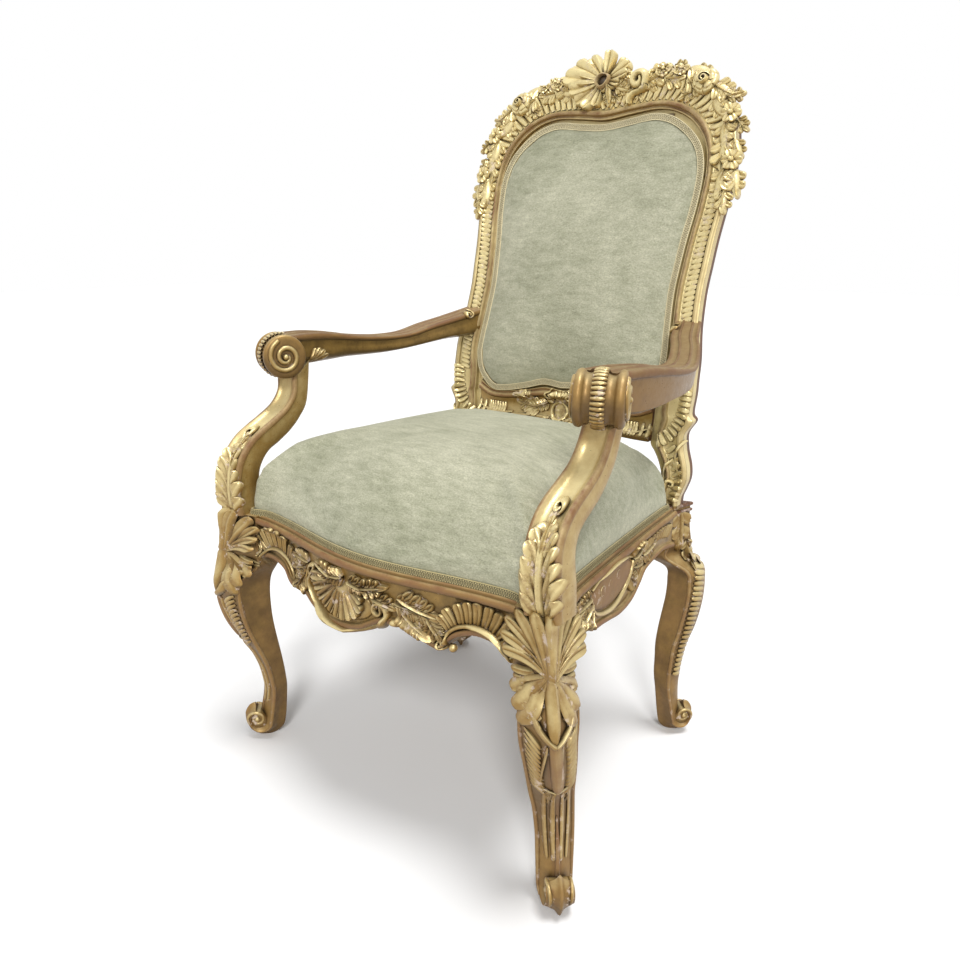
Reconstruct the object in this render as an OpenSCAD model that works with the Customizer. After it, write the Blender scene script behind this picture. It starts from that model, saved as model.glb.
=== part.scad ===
// Open armchair (fauteuil) with a carved and gilded beech frame, a sprung seat and a padded back.
// The origin is on the floor under the middle of the chair: +X to the sitter's left, +Y to the back, +Z up.
// Each wooden member is a loft through sections, and members meet on flat faces with tenons or dowels.

/* [Overall] */
// Height of the crest shell above the floor
total_height = 1120; // [1080:5:1150]
// Height of the top of the seat rails
seat_height = 437; // [425:1:450]
// Distance between the middles of the front feet
front_foot_spread = 627; // [600:2:650]
// Distance between the middles of the back feet
back_foot_spread = 512; // [490:2:530]
// Middle of the front feet in front of the origin
front_foot_reach = 267; // [250:1:275]
// Middle of the back feet behind the origin
back_foot_reach = 228; // [215:1:245]

/* [Seat frame] */
// Width across the front corners of the seat
seat_front_width = 604; // [590:2:620]
// Width across the back corners of the seat
seat_back_width = 486; // [476:2:496]
// Front corners of the seat in front of the origin
seat_front_reach = 302; // [294:1:310]
// Back corners of the seat behind the origin
seat_back_reach = 216; // [210:1:222]
// Side of the square block at the top of each front leg
leg_block = 56; // [54:1:60]
// Side of the square block in each rear post
post_block = 53; // [51:1:56]
// How far the front rail swells forward in the middle
front_bow = 34; // [20:1:45]
// How far the side rails are hollowed in plan
side_hollow = 12; // [6:1:18]
// Thickness of the seat rails where they meet the legs
rail_thickness = 32; // [28:1:36]
// Depth of the apron in the middle of the front rail
apron_depth = 108; // [98:1:116]
// Depth of the plain rear rail
rear_rail_depth = 54; // [45:1:65]
// Width of the bead along the top of the rails
bead_width = 14; // [11:0.5:16]
// Height of the bead above the ledge that carries the seat
bead_height = 7; // [5:0.5:9]

/* [Legs] */
// Depth of the knee from front to back
knee_depth = 85; // [76:1:92]
// Width of the knee
knee_width = 70; // [60:1:78]
// Radius of the heel that each front foot stands on
front_scroll_radius = 48; // [44:0.5:52]
// Radius of the heel that each back foot stands on
back_scroll_radius = 43; // [40:0.5:46]
// Width of the foot scrolls
foot_width = 40; // [34:1:44]
// How much of each scroll is worn flat on the floor
foot_flat = 1.5; // [1:0.1:2]

/* [Back frame] */
// Half of the width of the back frame at its narrowest
back_half_width = 230; // [222:1:238]
// Thickness of the back frame
frame_depth = 46; // [42:1:50]
// Recline of the back from upright, in degrees
back_recline = 13.6; // [11:0.5:16]
// Front face of the back frame behind the origin, at the bend above the seat
back_setback = 186; // [182:1:190]
// Height of the bend where the recline starts
bend_height = 650; // [640:1:660]

/* [Arms] */
// Height of the middle of the arm scrolls
arm_height = 670; // [660:1:680]
// Radius of the arm scrolls
arm_scroll_radius = 33; // [30:0.5:36]
// Width of the arm scrolls
arm_scroll_width = 60; // [54:1:64]
// Distance of the middle of the arm scrolls from the middle of the chair
arm_spread = 285; // [280:0.5:290]
// How far the arm scrolls turn outward, in degrees
arm_scroll_turn = 23; // [15:1:27]
// Middle of the arm scrolls in front of the origin
arm_reach = 186; // [180:1:192]
// Width of the arm where it springs from the scroll
arm_width = 58; // [52:1:60]
// Width of the arm supports at their widest
support_width = 47; // [42:1:50]
// Depth of the arm supports at the foot
support_depth = 41; // [38:1:44]

/* [Upholstery] */
// Rise of the seat from its edge to its crown
seat_crown = 130; // [90:2:136]
// Height of the upright edge of the seat above the ledge
seat_edge = 18; // [14:1:22]
// Swell of the back pad in front of its edge
back_crown = 22; // [10:1:28]
// Width of the braid round the seat and the back
gimp_width = 13; // [10:1:15]
// Thickness of the braid
gimp_thickness = 3; // [2:0.5:4]
// Width of the webbing
web_width = 50; // [45:1:55]
// Thickness of the webbing
web_thickness = 2; // [1.5:0.5:2.5]
// Thickness of the lining cloths
cloth_thickness = 1.2; // [1:0.1:1.5]

/* [Joints] */
// Thickness of the tenons
tenon_thickness = 10; // [8:0.5:12]
// Height of the tenons
tenon_height = 38; // [30:1:42]
// Length of the tenons
tenon_length = 17; // [14:0.5:18]
// Radius of the dowels
dowel_radius = 5; // [4:0.5:6]
// Length of the dowels
dowel_length = 36; // [28:1:44]
// Clearance round the tenons and dowels, filled by glue
glue_gap = 0.15; // [0.1:0.05:0.25]
// Radius of the shanks of the corner screws
screw_radius = 2.4; // [2:0.1:3]
// Length of the corner screws
screw_length = 38; // [30:1:42]

/* [Carving] */
// Radius of the crest shell
shell_radius = 42; // [36:1:46]
// Radius of the round eye pierced through the crest shell
shell_eye_radius = 9; // [6:0.5:11]
// Number of ribs in the fan of the crest shell
shell_ribs = 9; // [7:1:11]
// Thickness of the ground of the applied carving
carving_ground = 7; // [5:0.5:9]
// Radius of the largest flowers
flower_radius = 17; // [13:0.5:19]

/* [Hidden] */
$fn = 32;

gold = [0.66, 0.53, 0.28];
brown_wood = [0.42, 0.26, 0.16];
velvet = [0.62, 0.63, 0.52];
braid = [0.78, 0.74, 0.56];
linen = [0.72, 0.66, 0.52];
steel = [0.6, 0.6, 0.6];

cut = 1;
diagonal = sqrt(2);

// Places that the seat frame follows
leg_joint_x = seat_front_width / 2 - leg_block;
leg_joint_y = seat_front_reach - leg_block;
post_joint_x = seat_back_width / 2 - post_block;
post_joint_y = seat_back_reach - post_block;
ledge_height = seat_height - bead_height;
rail_inner_front = leg_joint_y + leg_block * 0.78 - rail_thickness;
side_length = leg_joint_y + post_joint_y;

// Half of a leg's cross section, from the back arris to the nose: place along its depth, place across
leg_section_share = [
    [0, 0], [0.25, 0.5], [0.46, 0.92], [0.54, 1], [0.66, 0.86], [0.82, 0.56], [0.94, 0.26], [1, 0]
];
// Half of the block above a leg, from its inner corner to its outer one, as parts of its side
block_section_share = [
    [0, 0], [0.35, 0], [0.66, 0], [0.72, 0.06], [0.78, 0.34], [0.88, 0.64], [0.95, 0.86], [0.98, 0.98]
];
// Front block: height as part of the seat height, then its width, depth and inner offset as parts of its side
front_block_share = [
    [1, 1.06, 1.06, 0], [0.96, 1.11, 1.08, 0], [0.9, 1.21, 1.1, 0], [0.845, 1.31, 1.14, 0], [0.8, 1.31, 1.1, 0.06]
];
// Front leg: height as part of the seat height, nose and back as parts of the knee depth,
// sideways lean as part of the knee depth, width as part of the knee width
front_leg_share = [
    [0.745, 0.49, -0.52, -0.31, 1], [0.69, 0.515, -0.46, -0.29, 1], [0.62, 0.47, -0.445, -0.27, 0.95],
    [0.55, 0.38, -0.45, -0.22, 0.89], [0.48, 0.23, -0.48, -0.17, 0.83], [0.41, 0.04, -0.52, -0.12, 0.77],
    [0.34, -0.08, -0.555, -0.06, 0.71], [0.27, -0.135, -0.58, -0.02, 0.68], [0.21, -0.14, -0.58, 0, 0.66]
];
// Back leg in the same terms
back_leg_share = [
    [0.2, -0.07, -0.56, 0, 0.66], [0.27, -0.07, -0.62, 0, 0.68], [0.34, -0.05, -0.64, 0.01, 0.7],
    [0.41, 0.01, -0.66, 0.02, 0.74], [0.48, 0.12, -0.64, 0.03, 0.8], [0.55, 0.19, -0.6, 0.04, 0.84],
    [0.62, 0.22, -0.56, 0.05, 0.88], [0.69, 0.21, -0.56, 0.05, 0.88], [0.745, 0.15, -0.63, 0.04, 0.88]
];
// Back block in the terms of the front block
back_block_share = [
    [0.8, 1.12, 1.12, -0.04], [0.845, 1.1, 1.1, 0], [0.9, 1.04, 1.04, 0], [0.96, 1, 1, 0], [1, 1, 1, 0]
];
// Heel and scroll of a foot: turn from the floor in degrees, radius as part of the heel's, width as
// part of the knee's
heel_share = [
    [-90, 1, 0.64], [-60, 0.97, 0.64], [-30, 0.89, 0.62], [0, 0.79, 0.6], [25, 0.67, 0.58], [45, 0.57, 0.57],
    [68, 0.51, 0.56], [93, 0.49, 0.56], [120, 0.53, 0.55], [150, 0.6, 0.54], [172, 0.64, 0.5]
];
scroll_centre_share = 0.1;
scroll_inner_share = 0.1;

// Cross section of the back frame: place across from the opening, place through its depth
frame_section_share = [
    [0, 0.3], [0.22, 0.3], [0.28, 0.05], [0.38, 0], [0.48, 0.13], [0.8, 0.13], [0.88, 0.01],
    [1, 0.06], [0.98, 0.5], [0.74, 1], [0.4, 1], [0.04, 1], [0, 0.8], [0, 0.5]
];
ground_share = 0.13;
ledge_share = 0.3;
frame_ledge = ledge_share * frame_depth;

// Right stile: height as part of the total, inner and outer edges as parts of the back's half width
stile_share = [
    [0.402, 0.852, 1.03], [0.4134, 0.861, 1.048], [0.431, 0.865, 1.07], [0.448, 0.835, 1.061],
    [0.4616, 0.796, 1.039], [0.473, 0.757, 1.022], [0.493, 0.757, 1.009], [0.512, 0.757, 1.057],
    [0.5215, 0.757, 1.026], [0.548, 0.757, 1.03], [0.567, 0.768, 1.026], [0.5955, 0.77, 1.017],
    [0.634, 0.752, 0.983], [0.679, 0.735, 0.965], [0.714, 0.74, 0.968], [0.75, 0.752, 0.974],
    [0.79, 0.774, 0.99], [0.83, 0.778, 1.004]
];
// Right half of the crest: inner edge and outer edge, each across and up as parts of the same sizes, and
// depth as part of the frame's
crest_share = [
    [0.778, 0.83, 1.004, 0.83, 1], [0.757, 0.8545, 0.995, 0.862, 0.9], [0.709, 0.873, 0.952, 0.898, 0.86],
    [0.613, 0.891, 0.865, 0.93, 0.84], [0.5, 0.9035, 0.715, 0.95, 0.82], [0.365, 0.908, 0.513, 0.9625, 0.8],
    [0.178, 0.9025, 0.26, 0.968, 0.8], [0, 0.898, 0, 0.9645, 0.8]
];
// Right half of the lower rail of the back in the terms of the crest
lower_rail_share = [
    [0, 0.5455, 0, 0.478], [0.15, 0.5475, 0.15, 0.478], [0.3, 0.5395, 0.3, 0.478], [0.5, 0.531, 0.5, 0.477],
    [0.64, 0.5315, 0.64, 0.476], [0.757, 0.5465, 0.757, 0.476]
];
// Arm: place from the scroll to the back as a part of the arm's length, spread and height as parts
// of those of the scroll, thickness as part of the scroll's radius, width as part of the arm width
arm_share = [
    [0, 0.993, 1.0492, 1.5, 0.97], [0.126, 1.014, 1.0492, 1.67, 0.97], [0.262, 1.025, 1.0417, 1.51, 0.93],
    [0.372, 1.021, 1.0313, 1.24, 0.9], [0.484, 1.003, 1.0238, 1.09, 0.86], [0.596, 0.972, 1.0208, 1, 0.83],
    [0.7, 0.926, 1.0253, 0.97, 0.79], [0.802, 0.87, 1.0432, 1.155, 0.78], [0.896, 0.807, 1.0581, 1.27, 0.76],
    [1, 0.73, 1.082, 1.64, 0.72]
];
// Cross section of the arm from the middle of its top round its right half: across, up
arm_section_share = [
    [0, 1], [0.4, 0.985], [0.75, 0.94], [1, 0.84], [1, 0.74], [0.88, 0.68], [0.84, 0.25], [0.55, 0]
];
// Arm support: height of the front edge as part of its rise and place as part of its sweep, the same
// for the back edge, place across from its head to its foot, width as part of the widest
support_share = [
    [0, 0, 0, 0.06, 1, 1.06], [0.17, -0.03, 0.17, 0.05, 0.92, 1.04], [0.354, 0, 0.3, 0.05, 0.58, 1.02],
    [0.474, 0.08, 0.39, 0.1, 0.25, 1], [0.583, 0.24, 0.464, 0.2, 0, 1], [0.656, 0.43, 0.516, 0.36, -0.17, 0.99],
    [0.714, 0.62, 0.589, 0.56, -0.25, 0.98], [0.79, 0.83, 0.682, 0.73, -0.33, 0.96],
    [0.89, 0.96, 0.807, 0.87, -0.33, 0.94], [1, 1, 1, 1, 0, 0.93]
];
// Cross section of the arm support: place from front to back, place across
support_section_share = [
    [0.12, 0], [0.02, 0.5], [0, 0.86], [0.12, 1], [0.6, 1], [0.9, 0.86], [1, 0.5],
    [1, -0.5], [0.9, -0.86], [0.6, -1], [0.12, -1], [0, -0.86], [0.02, -0.5]
];

// Lower edge of the front rail from left to right: place, drop as part of the apron's depth
apron_share = [
    [-1, 0.64], [-0.9, 0.57], [-0.8, 0.57], [-0.71, 0.63], [-0.66, 0.77], [-0.61, 0.81], [-0.55, 0.76],
    [-0.5, 0.73], [-0.46, 0.79], [-0.41, 0.86], [-0.35, 0.92], [-0.25, 0.98], [-0.1, 0.97], [0.04, 0.9],
    [0.13, 0.79], [0.2, 0.71], [0.32, 0.66], [0.41, 0.72], [0.5, 0.82], [0.57, 0.85], [0.61, 0.74], [0.67, 0.62],
    [0.78, 0.54], [0.9, 0.58], [1, 0.72]
];
// Side rail from the front leg to the post: place, part of the hollow, drop as part of the apron
side_rail_share = [
    [0, 0.3, 0.63], [0.05, 0.7, 0.59], [0.12, 1, 0.58], [0.2, 1, 0.62], [0.25, 0.98, 0.76], [0.32, 0.92, 0.8],
    [0.38, 0.88, 0.84], [0.48, 0.78, 0.9], [0.58, 0.65, 0.86], [0.65, 0.58, 0.72], [0.7, 0.52, 0.58],
    [0.78, 0.38, 0.53], [0.88, 0.2, 0.51], [1, 0, 0.6]
];
// Rail cross section near the top: place in from the face and height, as parts of the bead
rail_top_share = [[1, 0], [0.96, 0.6], [0.7, 1], [0.25, 0.9], [0, 0.3], [0.1, -0.5], [0.35, -0.8], [0.1, -1.1]];
panel_recess_share = 0.35;

// Plan of the seat cushion where it passes the arm supports, as parts of the leg block
seat_notch_share = [[0.17, 0.6], [0.2, 0.27], [0.5, 0.24], [0.53, -0.12]];
// Rings of the seat dome: scale of the plan
dome_ring_share = [1, 0.985, 0.955, 0.91, 0.84, 0.75, 0.63, 0.48, 0.3, 0.12];
dome_round_share = 0.45;

function mirrored(half) = concat(half, [for (i = [len(half) - 2 : -1 : 1]) [half[i][0], -half[i][1]]]);
function swapped(half) = concat(half, [for (i = [len(half) - 2 : -1 : 1]) [half[i][1], half[i][0]]]);
function mean(points) = [for (k = [0 : 2]) [for (p = points) p[k]] * [for (p = points) 1] / len(points)];
function along(table, place, column, i = 0) =
    i > len(table) - 3 || table[i + 1][0] >= place
    ? table[i][column] + (table[i + 1][column] - table[i][column])
        * (place - table[i][0]) / (table[i + 1][0] - table[i][0])
    : along(table, place, column, i + 1);

// Solid through closed sections of equal length that run anticlockwise about the direction of travel
module loft(sections) {
    n = len(sections[0]);
    m = len(sections);
    polyhedron(
        points = concat([for (s = sections) for (p = s) p], [mean(sections[0]), mean(sections[m - 1])]),
        faces = concat(
            [for (i = [0 : m - 2]) for (j = [0 : n - 1]) [i * n + j, (i + 1) * n + j, (i + 1) * n + (j + 1) % n]],
            [for (i = [0 : m - 2]) for (j = [0 : n - 1]) [i * n + j, (i + 1) * n + (j + 1) % n, i * n + (j + 1) % n]],
            [for (j = [0 : n - 1]) [m * n, j, (j + 1) % n]],
            [for (j = [0 : n - 1]) [m * n + 1, (m - 1) * n + (j + 1) % n, (m - 1) * n + j]]
        )
    );
}

// Front face of the back frame at a height
function back_face(z) =
    back_setback + (z > bend_height ? tan(back_recline) : tan(back_recline) / 3) * (z - bend_height);

// Outer face of the front rail at a place across, and of the side rail at a place from front to back
function front_face(x) =
    -(rail_inner_front + rail_thickness + front_bow * (1 + cos(180 * x / leg_joint_x)) / 2);
function side_place(y) = (y + leg_joint_y) / side_length;
function side_face(y) =
    (seat_front_width / 2) * (1 - side_place(y)) + (seat_back_width / 2) * side_place(y)
    - side_hollow * along(side_rail_share, side_place(y), 1);
function side_inner(y) = side_face(-leg_joint_y) - rail_thickness
    + (side_face(post_joint_y) - side_face(-leg_joint_y)) * side_place(y);

// Sections of a leg on a diagonal: foot place, outward signs, table row
function leg_ring(foot_x, foot_y, side_y, row) = [
    for (p = mirrored(leg_section_share))
        let (
            reach = knee_depth * (row[2] + (row[1] - row[2]) * p[0]),
            lean = knee_depth * row[3] + knee_width / 2 * row[4] * p[1]
        )
        [foot_x + (reach + lean) / diagonal, side_y * (foot_y + (reach - lean) / diagonal), seat_height * row[0]]
];
function block_ring(joint_x, joint_y, side, side_y, row) = [
    for (p = swapped(block_section_share)) [
        joint_x + side * (row[3] + row[1] * p[0]),
        side_y * (joint_y + side * (row[3] + row[2] * p[1])),
        seat_height * row[0]
    ]
];

// Sections of a foot that fan round the middle of its scroll, from the leg down and up to the front
function foot_centre(radius) = [radius * scroll_centre_share, radius * heel_share[3][1] - foot_flat];
function heel_ring(foot_x, foot_y, side_y, radius, row) = [
    for (p = mirrored(leg_section_share))
        let (
            far = radius * row[1],
            near = radius * scroll_inner_share,
            out = far + (near - far) * p[0],
            reach = foot_centre(radius)[0] + out * sin(row[0]),
            across = knee_width / 2 * row[2] * p[1]
        )
        [
            foot_x + (reach + across) / diagonal,
            side_y * (foot_y + (reach - across) / diagonal),
            foot_centre(radius)[1] - out * cos(row[0])
        ]
];
module foot_volute(foot_x, foot_y, side_y, radius) {
    translate([foot_x, side_y * foot_y, 0]) rotate([0, 0, side_y * 45])
        translate([foot_centre(radius)[0], 0, foot_centre(radius)[1]]) rotate([90, 0, 0]) {
            cylinder(r = radius * 0.36, h = foot_width * 0.86, center = true);
            cylinder(r = radius * 0.17, h = foot_width * 1.05, center = true);
        }
}
module floor_cut() {
    translate([-seat_front_width, -seat_front_width, -seat_height]) cube([2 * seat_front_width, 2 * seat_front_width, seat_height]);
}

// Tenon or its mortise at a middle point, pointing along X or Y
module tenon(at, along_x, slack = 0) {
    size = [along_x ? tenon_length : tenon_thickness, along_x ? tenon_thickness : tenon_length, tenon_height];
    grow = [along_x ? slack + cut : 2 * slack, along_x ? 2 * slack : slack + cut, 2 * slack];
    translate(at) cube(size + grow, center = true);
}
tenon_mid_z = seat_height - leg_block * 0.58;
front_tenon_y = -(rail_inner_front + rail_thickness / 2);
side_tenon_front_x = side_face(-leg_joint_y) - rail_thickness / 2;
side_tenon_back_x = side_face(post_joint_y) - rail_thickness / 2;
rear_tenon_y = post_joint_y + post_block / 2;

module dowel(at, slack = 0) {
    translate(at) cylinder(r = dowel_radius + slack, h = dowel_length + 2 * slack, center = true);
}
support_foot = [seat_front_width / 2 - leg_block * 0.2, -seat_front_reach + support_depth / 2, seat_height];
arm_base_z = arm_height - arm_scroll_radius;
support_head = [arm_spread * 0.987, -arm_reach + support_depth * 0.58, arm_base_z];
crest_joint_z = total_height * crest_share[0][1];
crest_joint = [
    back_half_width * (crest_share[0][0] + crest_share[0][2]) / 2,
    back_face(crest_joint_z) + frame_depth * 0.6,
    crest_joint_z
];
lower_joint = lower_rail_share[len(lower_rail_share) - 1];
lower_joint_z = total_height * (lower_joint[1] + lower_joint[3]) / 2;
lower_joint_x = back_half_width * lower_joint[0];
lower_joint_y = back_face(lower_joint_z) + frame_depth * 0.6;

module screw_at(corner_x, corner_y, side_y) {
    translate([corner_x, side_y * corner_y, tenon_mid_z]) rotate([0, 0, side_y * 45]) rotate([0, 90, 0]) children();
}
screw_depth = screw_length * 0.35;

module front_leg_body() {
    foot_x = front_foot_spread / 2;
    difference() {
        union() {
            loft(concat(
                [for (row = front_block_share) block_ring(leg_joint_x, leg_joint_y, leg_block, -1, row)],
                [for (row = front_leg_share) leg_ring(foot_x, front_foot_reach, -1, row)],
                [for (row = heel_share) heel_ring(foot_x, front_foot_reach, -1, front_scroll_radius, row)]
            ));
            foot_volute(foot_x, front_foot_reach, -1, front_scroll_radius);
        }
        floor_cut();
        tenon([leg_joint_x + tenon_length / 2, front_tenon_y, tenon_mid_z], true, glue_gap);
        tenon([side_tenon_front_x, -leg_joint_y - tenon_length / 2, tenon_mid_z], false, glue_gap);
        dowel(support_foot, glue_gap);
        seat_rebate();
        screw_at(leg_joint_x, leg_joint_y, -1)
            cylinder(r = screw_radius + glue_gap, h = 2 * screw_depth + 2 * glue_gap, center = true);
    }
}
module front_leg_left() color(gold) mirror([1, 0, 0]) front_leg_body();
module front_leg_right() color(gold) front_leg_body();

function frame_ring(inner, outer, depth) = [
    for (p = frame_section_share)
        let (z = inner[1] + (outer[1] - inner[1]) * p[0])
        [
            inner[0] + (outer[0] - inner[0]) * p[0],
            back_face(z) + frame_depth * p[1] * (p[1] == 1 ? depth : 1),
            z
        ]
];

module stile_loft() {
    foot_x = back_foot_spread / 2;
    loft(concat(
        [for (i = [len(heel_share) - 1 : -1 : 0])
            heel_ring(foot_x, back_foot_reach, 1, back_scroll_radius, heel_share[i])],
        [for (row = back_leg_share) leg_ring(foot_x, back_foot_reach, 1, row)],
        [for (row = back_block_share) block_ring(post_joint_x, post_joint_y, post_block, 1, row)],
        [for (row = stile_share) frame_ring(
            [back_half_width * row[1], total_height * row[0]],
            [back_half_width * row[2], total_height * row[0]],
            1
        )]
    ));
}
module rear_post_body() {
    foot_x = back_foot_spread / 2;
    difference() {
        union() {
            stile_loft();
            foot_volute(foot_x, back_foot_reach, 1, back_scroll_radius);
        }
        floor_cut();
        tenon([side_tenon_back_x, post_joint_y + tenon_length / 2, tenon_mid_z], false, glue_gap);
        tenon([post_joint_x + tenon_length / 2, rear_tenon_y, tenon_mid_z], true, glue_gap);
        tenon([lower_joint_x + tenon_length / 2, lower_joint_y, lower_joint_z], true, glue_gap);
        dowel(crest_joint, glue_gap);
        arm_loft();
        screw_at(post_joint_x, post_joint_y, 1)
            cylinder(r = screw_radius + glue_gap, h = 2 * screw_depth + 2 * glue_gap, center = true);
    }
}
module rear_post_left() color(gold) mirror([1, 0, 0]) rear_post_body();
module rear_post_right() color(gold) rear_post_body();

// Section of a seat rail as distances in from its face and heights, clockwise from the inner ledge
function rail_section(thickness, low) = concat(
    [[thickness, ledge_height]],
    [for (p = rail_top_share) [bead_width * p[0], ledge_height + bead_height * p[1]]],
    [
        [bead_width * panel_recess_share, ledge_height - bead_height * 1.6],
        [bead_width * panel_recess_share, low + bead_height * 1.4],
        [0, low + bead_height],
        [0, low + bead_height * 0.4],
        [bead_width * 0.3, low],
        [thickness, low]
    ]
);

module front_rail_body() loft([
    for (row = apron_share) let (x = leg_joint_x * row[0]) [
        for (p = rail_section(-rail_inner_front - front_face(x), seat_height - apron_depth * row[1]))
            [x, front_face(x) + p[0], p[1]]
    ]
]);
module front_rail() color(gold) union() {
    front_rail_body();
    for (side = [-1, 1])
        tenon([side * (leg_joint_x + tenon_length / 2), front_tenon_y, tenon_mid_z], true);
}

function side_rail_ring(row) =
    let (y = -leg_joint_y + side_length * row[0])
    [
        for (p = rail_section(side_face(y) - side_inner(y), seat_height - apron_depth * row[2]))
            [side_face(y) - p[0], y, p[1] + (p[0] > bead_width ? (p[1] == ledge_height ? web_thickness : 0) : 0)]
    ];
module side_rail_loft() loft([for (row = side_rail_share) side_rail_ring(row)]);
module side_rail_body() union() {
    side_rail_loft();
    tenon([side_tenon_front_x, -leg_joint_y - tenon_length / 2, tenon_mid_z], false);
    tenon([side_tenon_back_x, post_joint_y + tenon_length / 2, tenon_mid_z], false);
}
module side_rail_left() color(gold) mirror([1, 0, 0]) side_rail_body();
module side_rail_right() color(gold) side_rail_body();

module rear_rail() color(brown_wood) union() {
    translate([-post_joint_x, rear_tenon_y - rail_thickness / 2, ledge_height - rear_rail_depth])
        cube([2 * post_joint_x, rail_thickness, rear_rail_depth]);
    for (side = [-1, 1])
        tenon([side * (post_joint_x + tenon_length / 2), rear_tenon_y, tenon_mid_z], true);
}

function frame_pair(row, side) = frame_ring(
    [side * back_half_width * row[0], total_height * row[1]],
    [side * back_half_width * row[2], total_height * row[3]],
    len(row) > 4 ? row[4] : 1
);
module crest_loft() {
    last = len(crest_share) - 1;
    loft(concat(
        [for (i = [0 : last]) frame_pair(crest_share[i], 1)],
        [for (i = [1 : last]) frame_pair(crest_share[last - i], -1)]
    ));
}
module crest_rail() color(gold) difference() {
    crest_loft();
    for (side = [-1, 1]) dowel([side * crest_joint[0], crest_joint[1], crest_joint[2]], glue_gap);
}
module lower_rail_loft() {
    last = len(lower_rail_share) - 1;
    loft(concat(
        [for (i = [0 : last]) frame_pair(lower_rail_share[last - i], -1)],
        [for (i = [1 : last]) frame_pair(lower_rail_share[i], 1)]
    ));
}
module lower_back_rail() color(gold) union() {
    lower_rail_loft();
    for (side = [-1, 1])
        tenon([side * (lower_joint_x + tenon_length / 2), lower_joint_y, lower_joint_z], true);
}

arm_housing = frame_depth * 0.16;
function arm_row(row) =
    let (
        top = arm_height * row[2],
        low = top - arm_scroll_radius * row[3],
        back_y = back_face(top) + arm_housing
    )
    [
        for (p = mirrored([for (q = arm_section_share) [q[1], q[0]]]))
            let (z = low + (top - low) * p[0])
            [
                arm_spread * row[1] + arm_width / 2 * row[4] * p[1],
                row[0] < 1
                ? -arm_reach + (back_face(arm_height) + arm_reach) * row[0]
                : back_face(z) + arm_housing,
                z
            ]
    ];
module arm_loft() loft([for (row = arm_share) arm_row(row)]);
module arm_body() difference() {
    union() {
        arm_loft();
        translate([arm_spread, -arm_reach, arm_height]) rotate([0, 0, arm_scroll_turn]) rotate([0, 90, 0]) {
            cylinder(r = arm_scroll_radius, h = arm_scroll_width, center = true);
            cylinder(r = arm_scroll_radius * 0.35, h = arm_scroll_width * 1.12, center = true);
        }
        translate([support_head[0] - support_width * 0.45, support_head[1] - support_depth * 0.5, arm_base_z])
            cube([support_width * 0.9, support_depth, arm_scroll_radius * 0.7]);
    }
    dowel(support_head, glue_gap);
}
module arm_left() color(gold) mirror([1, 0, 0]) arm_body();
module arm_right() color(gold) arm_body();

support_rise = arm_base_z - seat_height;
support_front_y = support_foot[1] - support_depth / 2;
support_travel = support_head[1] - support_foot[1];
function support_ring(row) = [
    for (p = support_section_share)
        let (
            front = [support_front_y + support_travel * row[1], seat_height + support_rise * row[0]],
            rear = [
                support_front_y + support_depth + support_travel * row[3],
                seat_height + support_rise * row[2]
            ]
        )
        [
            support_head[0] + (support_foot[0] - support_head[0]) * row[4] + support_width / 2 * row[5] * p[1],
            front[0] + (rear[0] - front[0]) * p[0],
            front[1] + (rear[1] - front[1]) * p[0]
        ]
];
module arm_support_body() difference() {
    loft([for (row = support_share) support_ring(row)]);
    dowel(support_foot, glue_gap);
    dowel(support_head, glue_gap);
}
module arm_support_left() color(gold) mirror([1, 0, 0]) arm_support_body();
module arm_support_right() color(gold) arm_support_body();

block_leg = leg_block * 1.1;
block_height = rear_rail_depth * 0.75;
module corner_block_front_body() difference() {
    translate([0, 0, ledge_height - rear_rail_depth * 0.95]) linear_extrude(block_height) polygon([
        [leg_joint_x - block_leg, -rail_inner_front],
        [leg_joint_x, -rail_inner_front],
        [leg_joint_x, -leg_joint_y],
        [side_inner(-leg_joint_y), -leg_joint_y],
        [side_inner(block_leg - leg_joint_y), block_leg - leg_joint_y]
    ]);
    screw_at(leg_joint_x, leg_joint_y, -1) screw_hole();
}
module corner_block_back_body() difference() {
    translate([0, 0, ledge_height - rear_rail_depth * 0.95]) linear_extrude(block_height) polygon([
        [side_inner(post_joint_y - block_leg), post_joint_y - block_leg],
        [side_inner(post_joint_y), post_joint_y],
        [post_joint_x, post_joint_y],
        [post_joint_x, rear_tenon_y - rail_thickness / 2],
        [post_joint_x - block_leg, rear_tenon_y - rail_thickness / 2]
    ]);
    screw_at(post_joint_x, post_joint_y, 1) screw_hole();
}
screw_head_radius = screw_radius * 2;
module screw_hole() {
    cylinder(r = screw_radius + glue_gap, h = 2 * screw_length, center = true);
    translate([0, 0, -screw_length - block_leg + screw_depth]) cylinder(r = screw_head_radius + glue_gap, h = block_leg);
}
module corner_block_front_left() color(brown_wood) mirror([1, 0, 0]) corner_block_front_body();
module corner_block_front_right() color(brown_wood) corner_block_front_body();
module corner_block_back_left() color(brown_wood) mirror([1, 0, 0]) corner_block_back_body();
module corner_block_back_right() color(brown_wood) corner_block_back_body();

module screw() {
    translate([0, 0, screw_depth - screw_length]) cylinder(r = screw_radius, h = screw_length);
    translate([0, 0, screw_depth - screw_length - screw_radius]) cylinder(r = screw_head_radius, h = screw_radius);
}
module corner_screws() color(steel) for (side = [0, 1]) mirror([side, 0, 0]) {
    screw_at(leg_joint_x, leg_joint_y, -1) screw();
    screw_at(post_joint_x, post_joint_y, 1) screw();
}
module dowels() color(linen) for (side = [0, 1]) mirror([side, 0, 0]) {
    dowel(support_foot);
    dowel(support_head);
    dowel(crest_joint);
}

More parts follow.
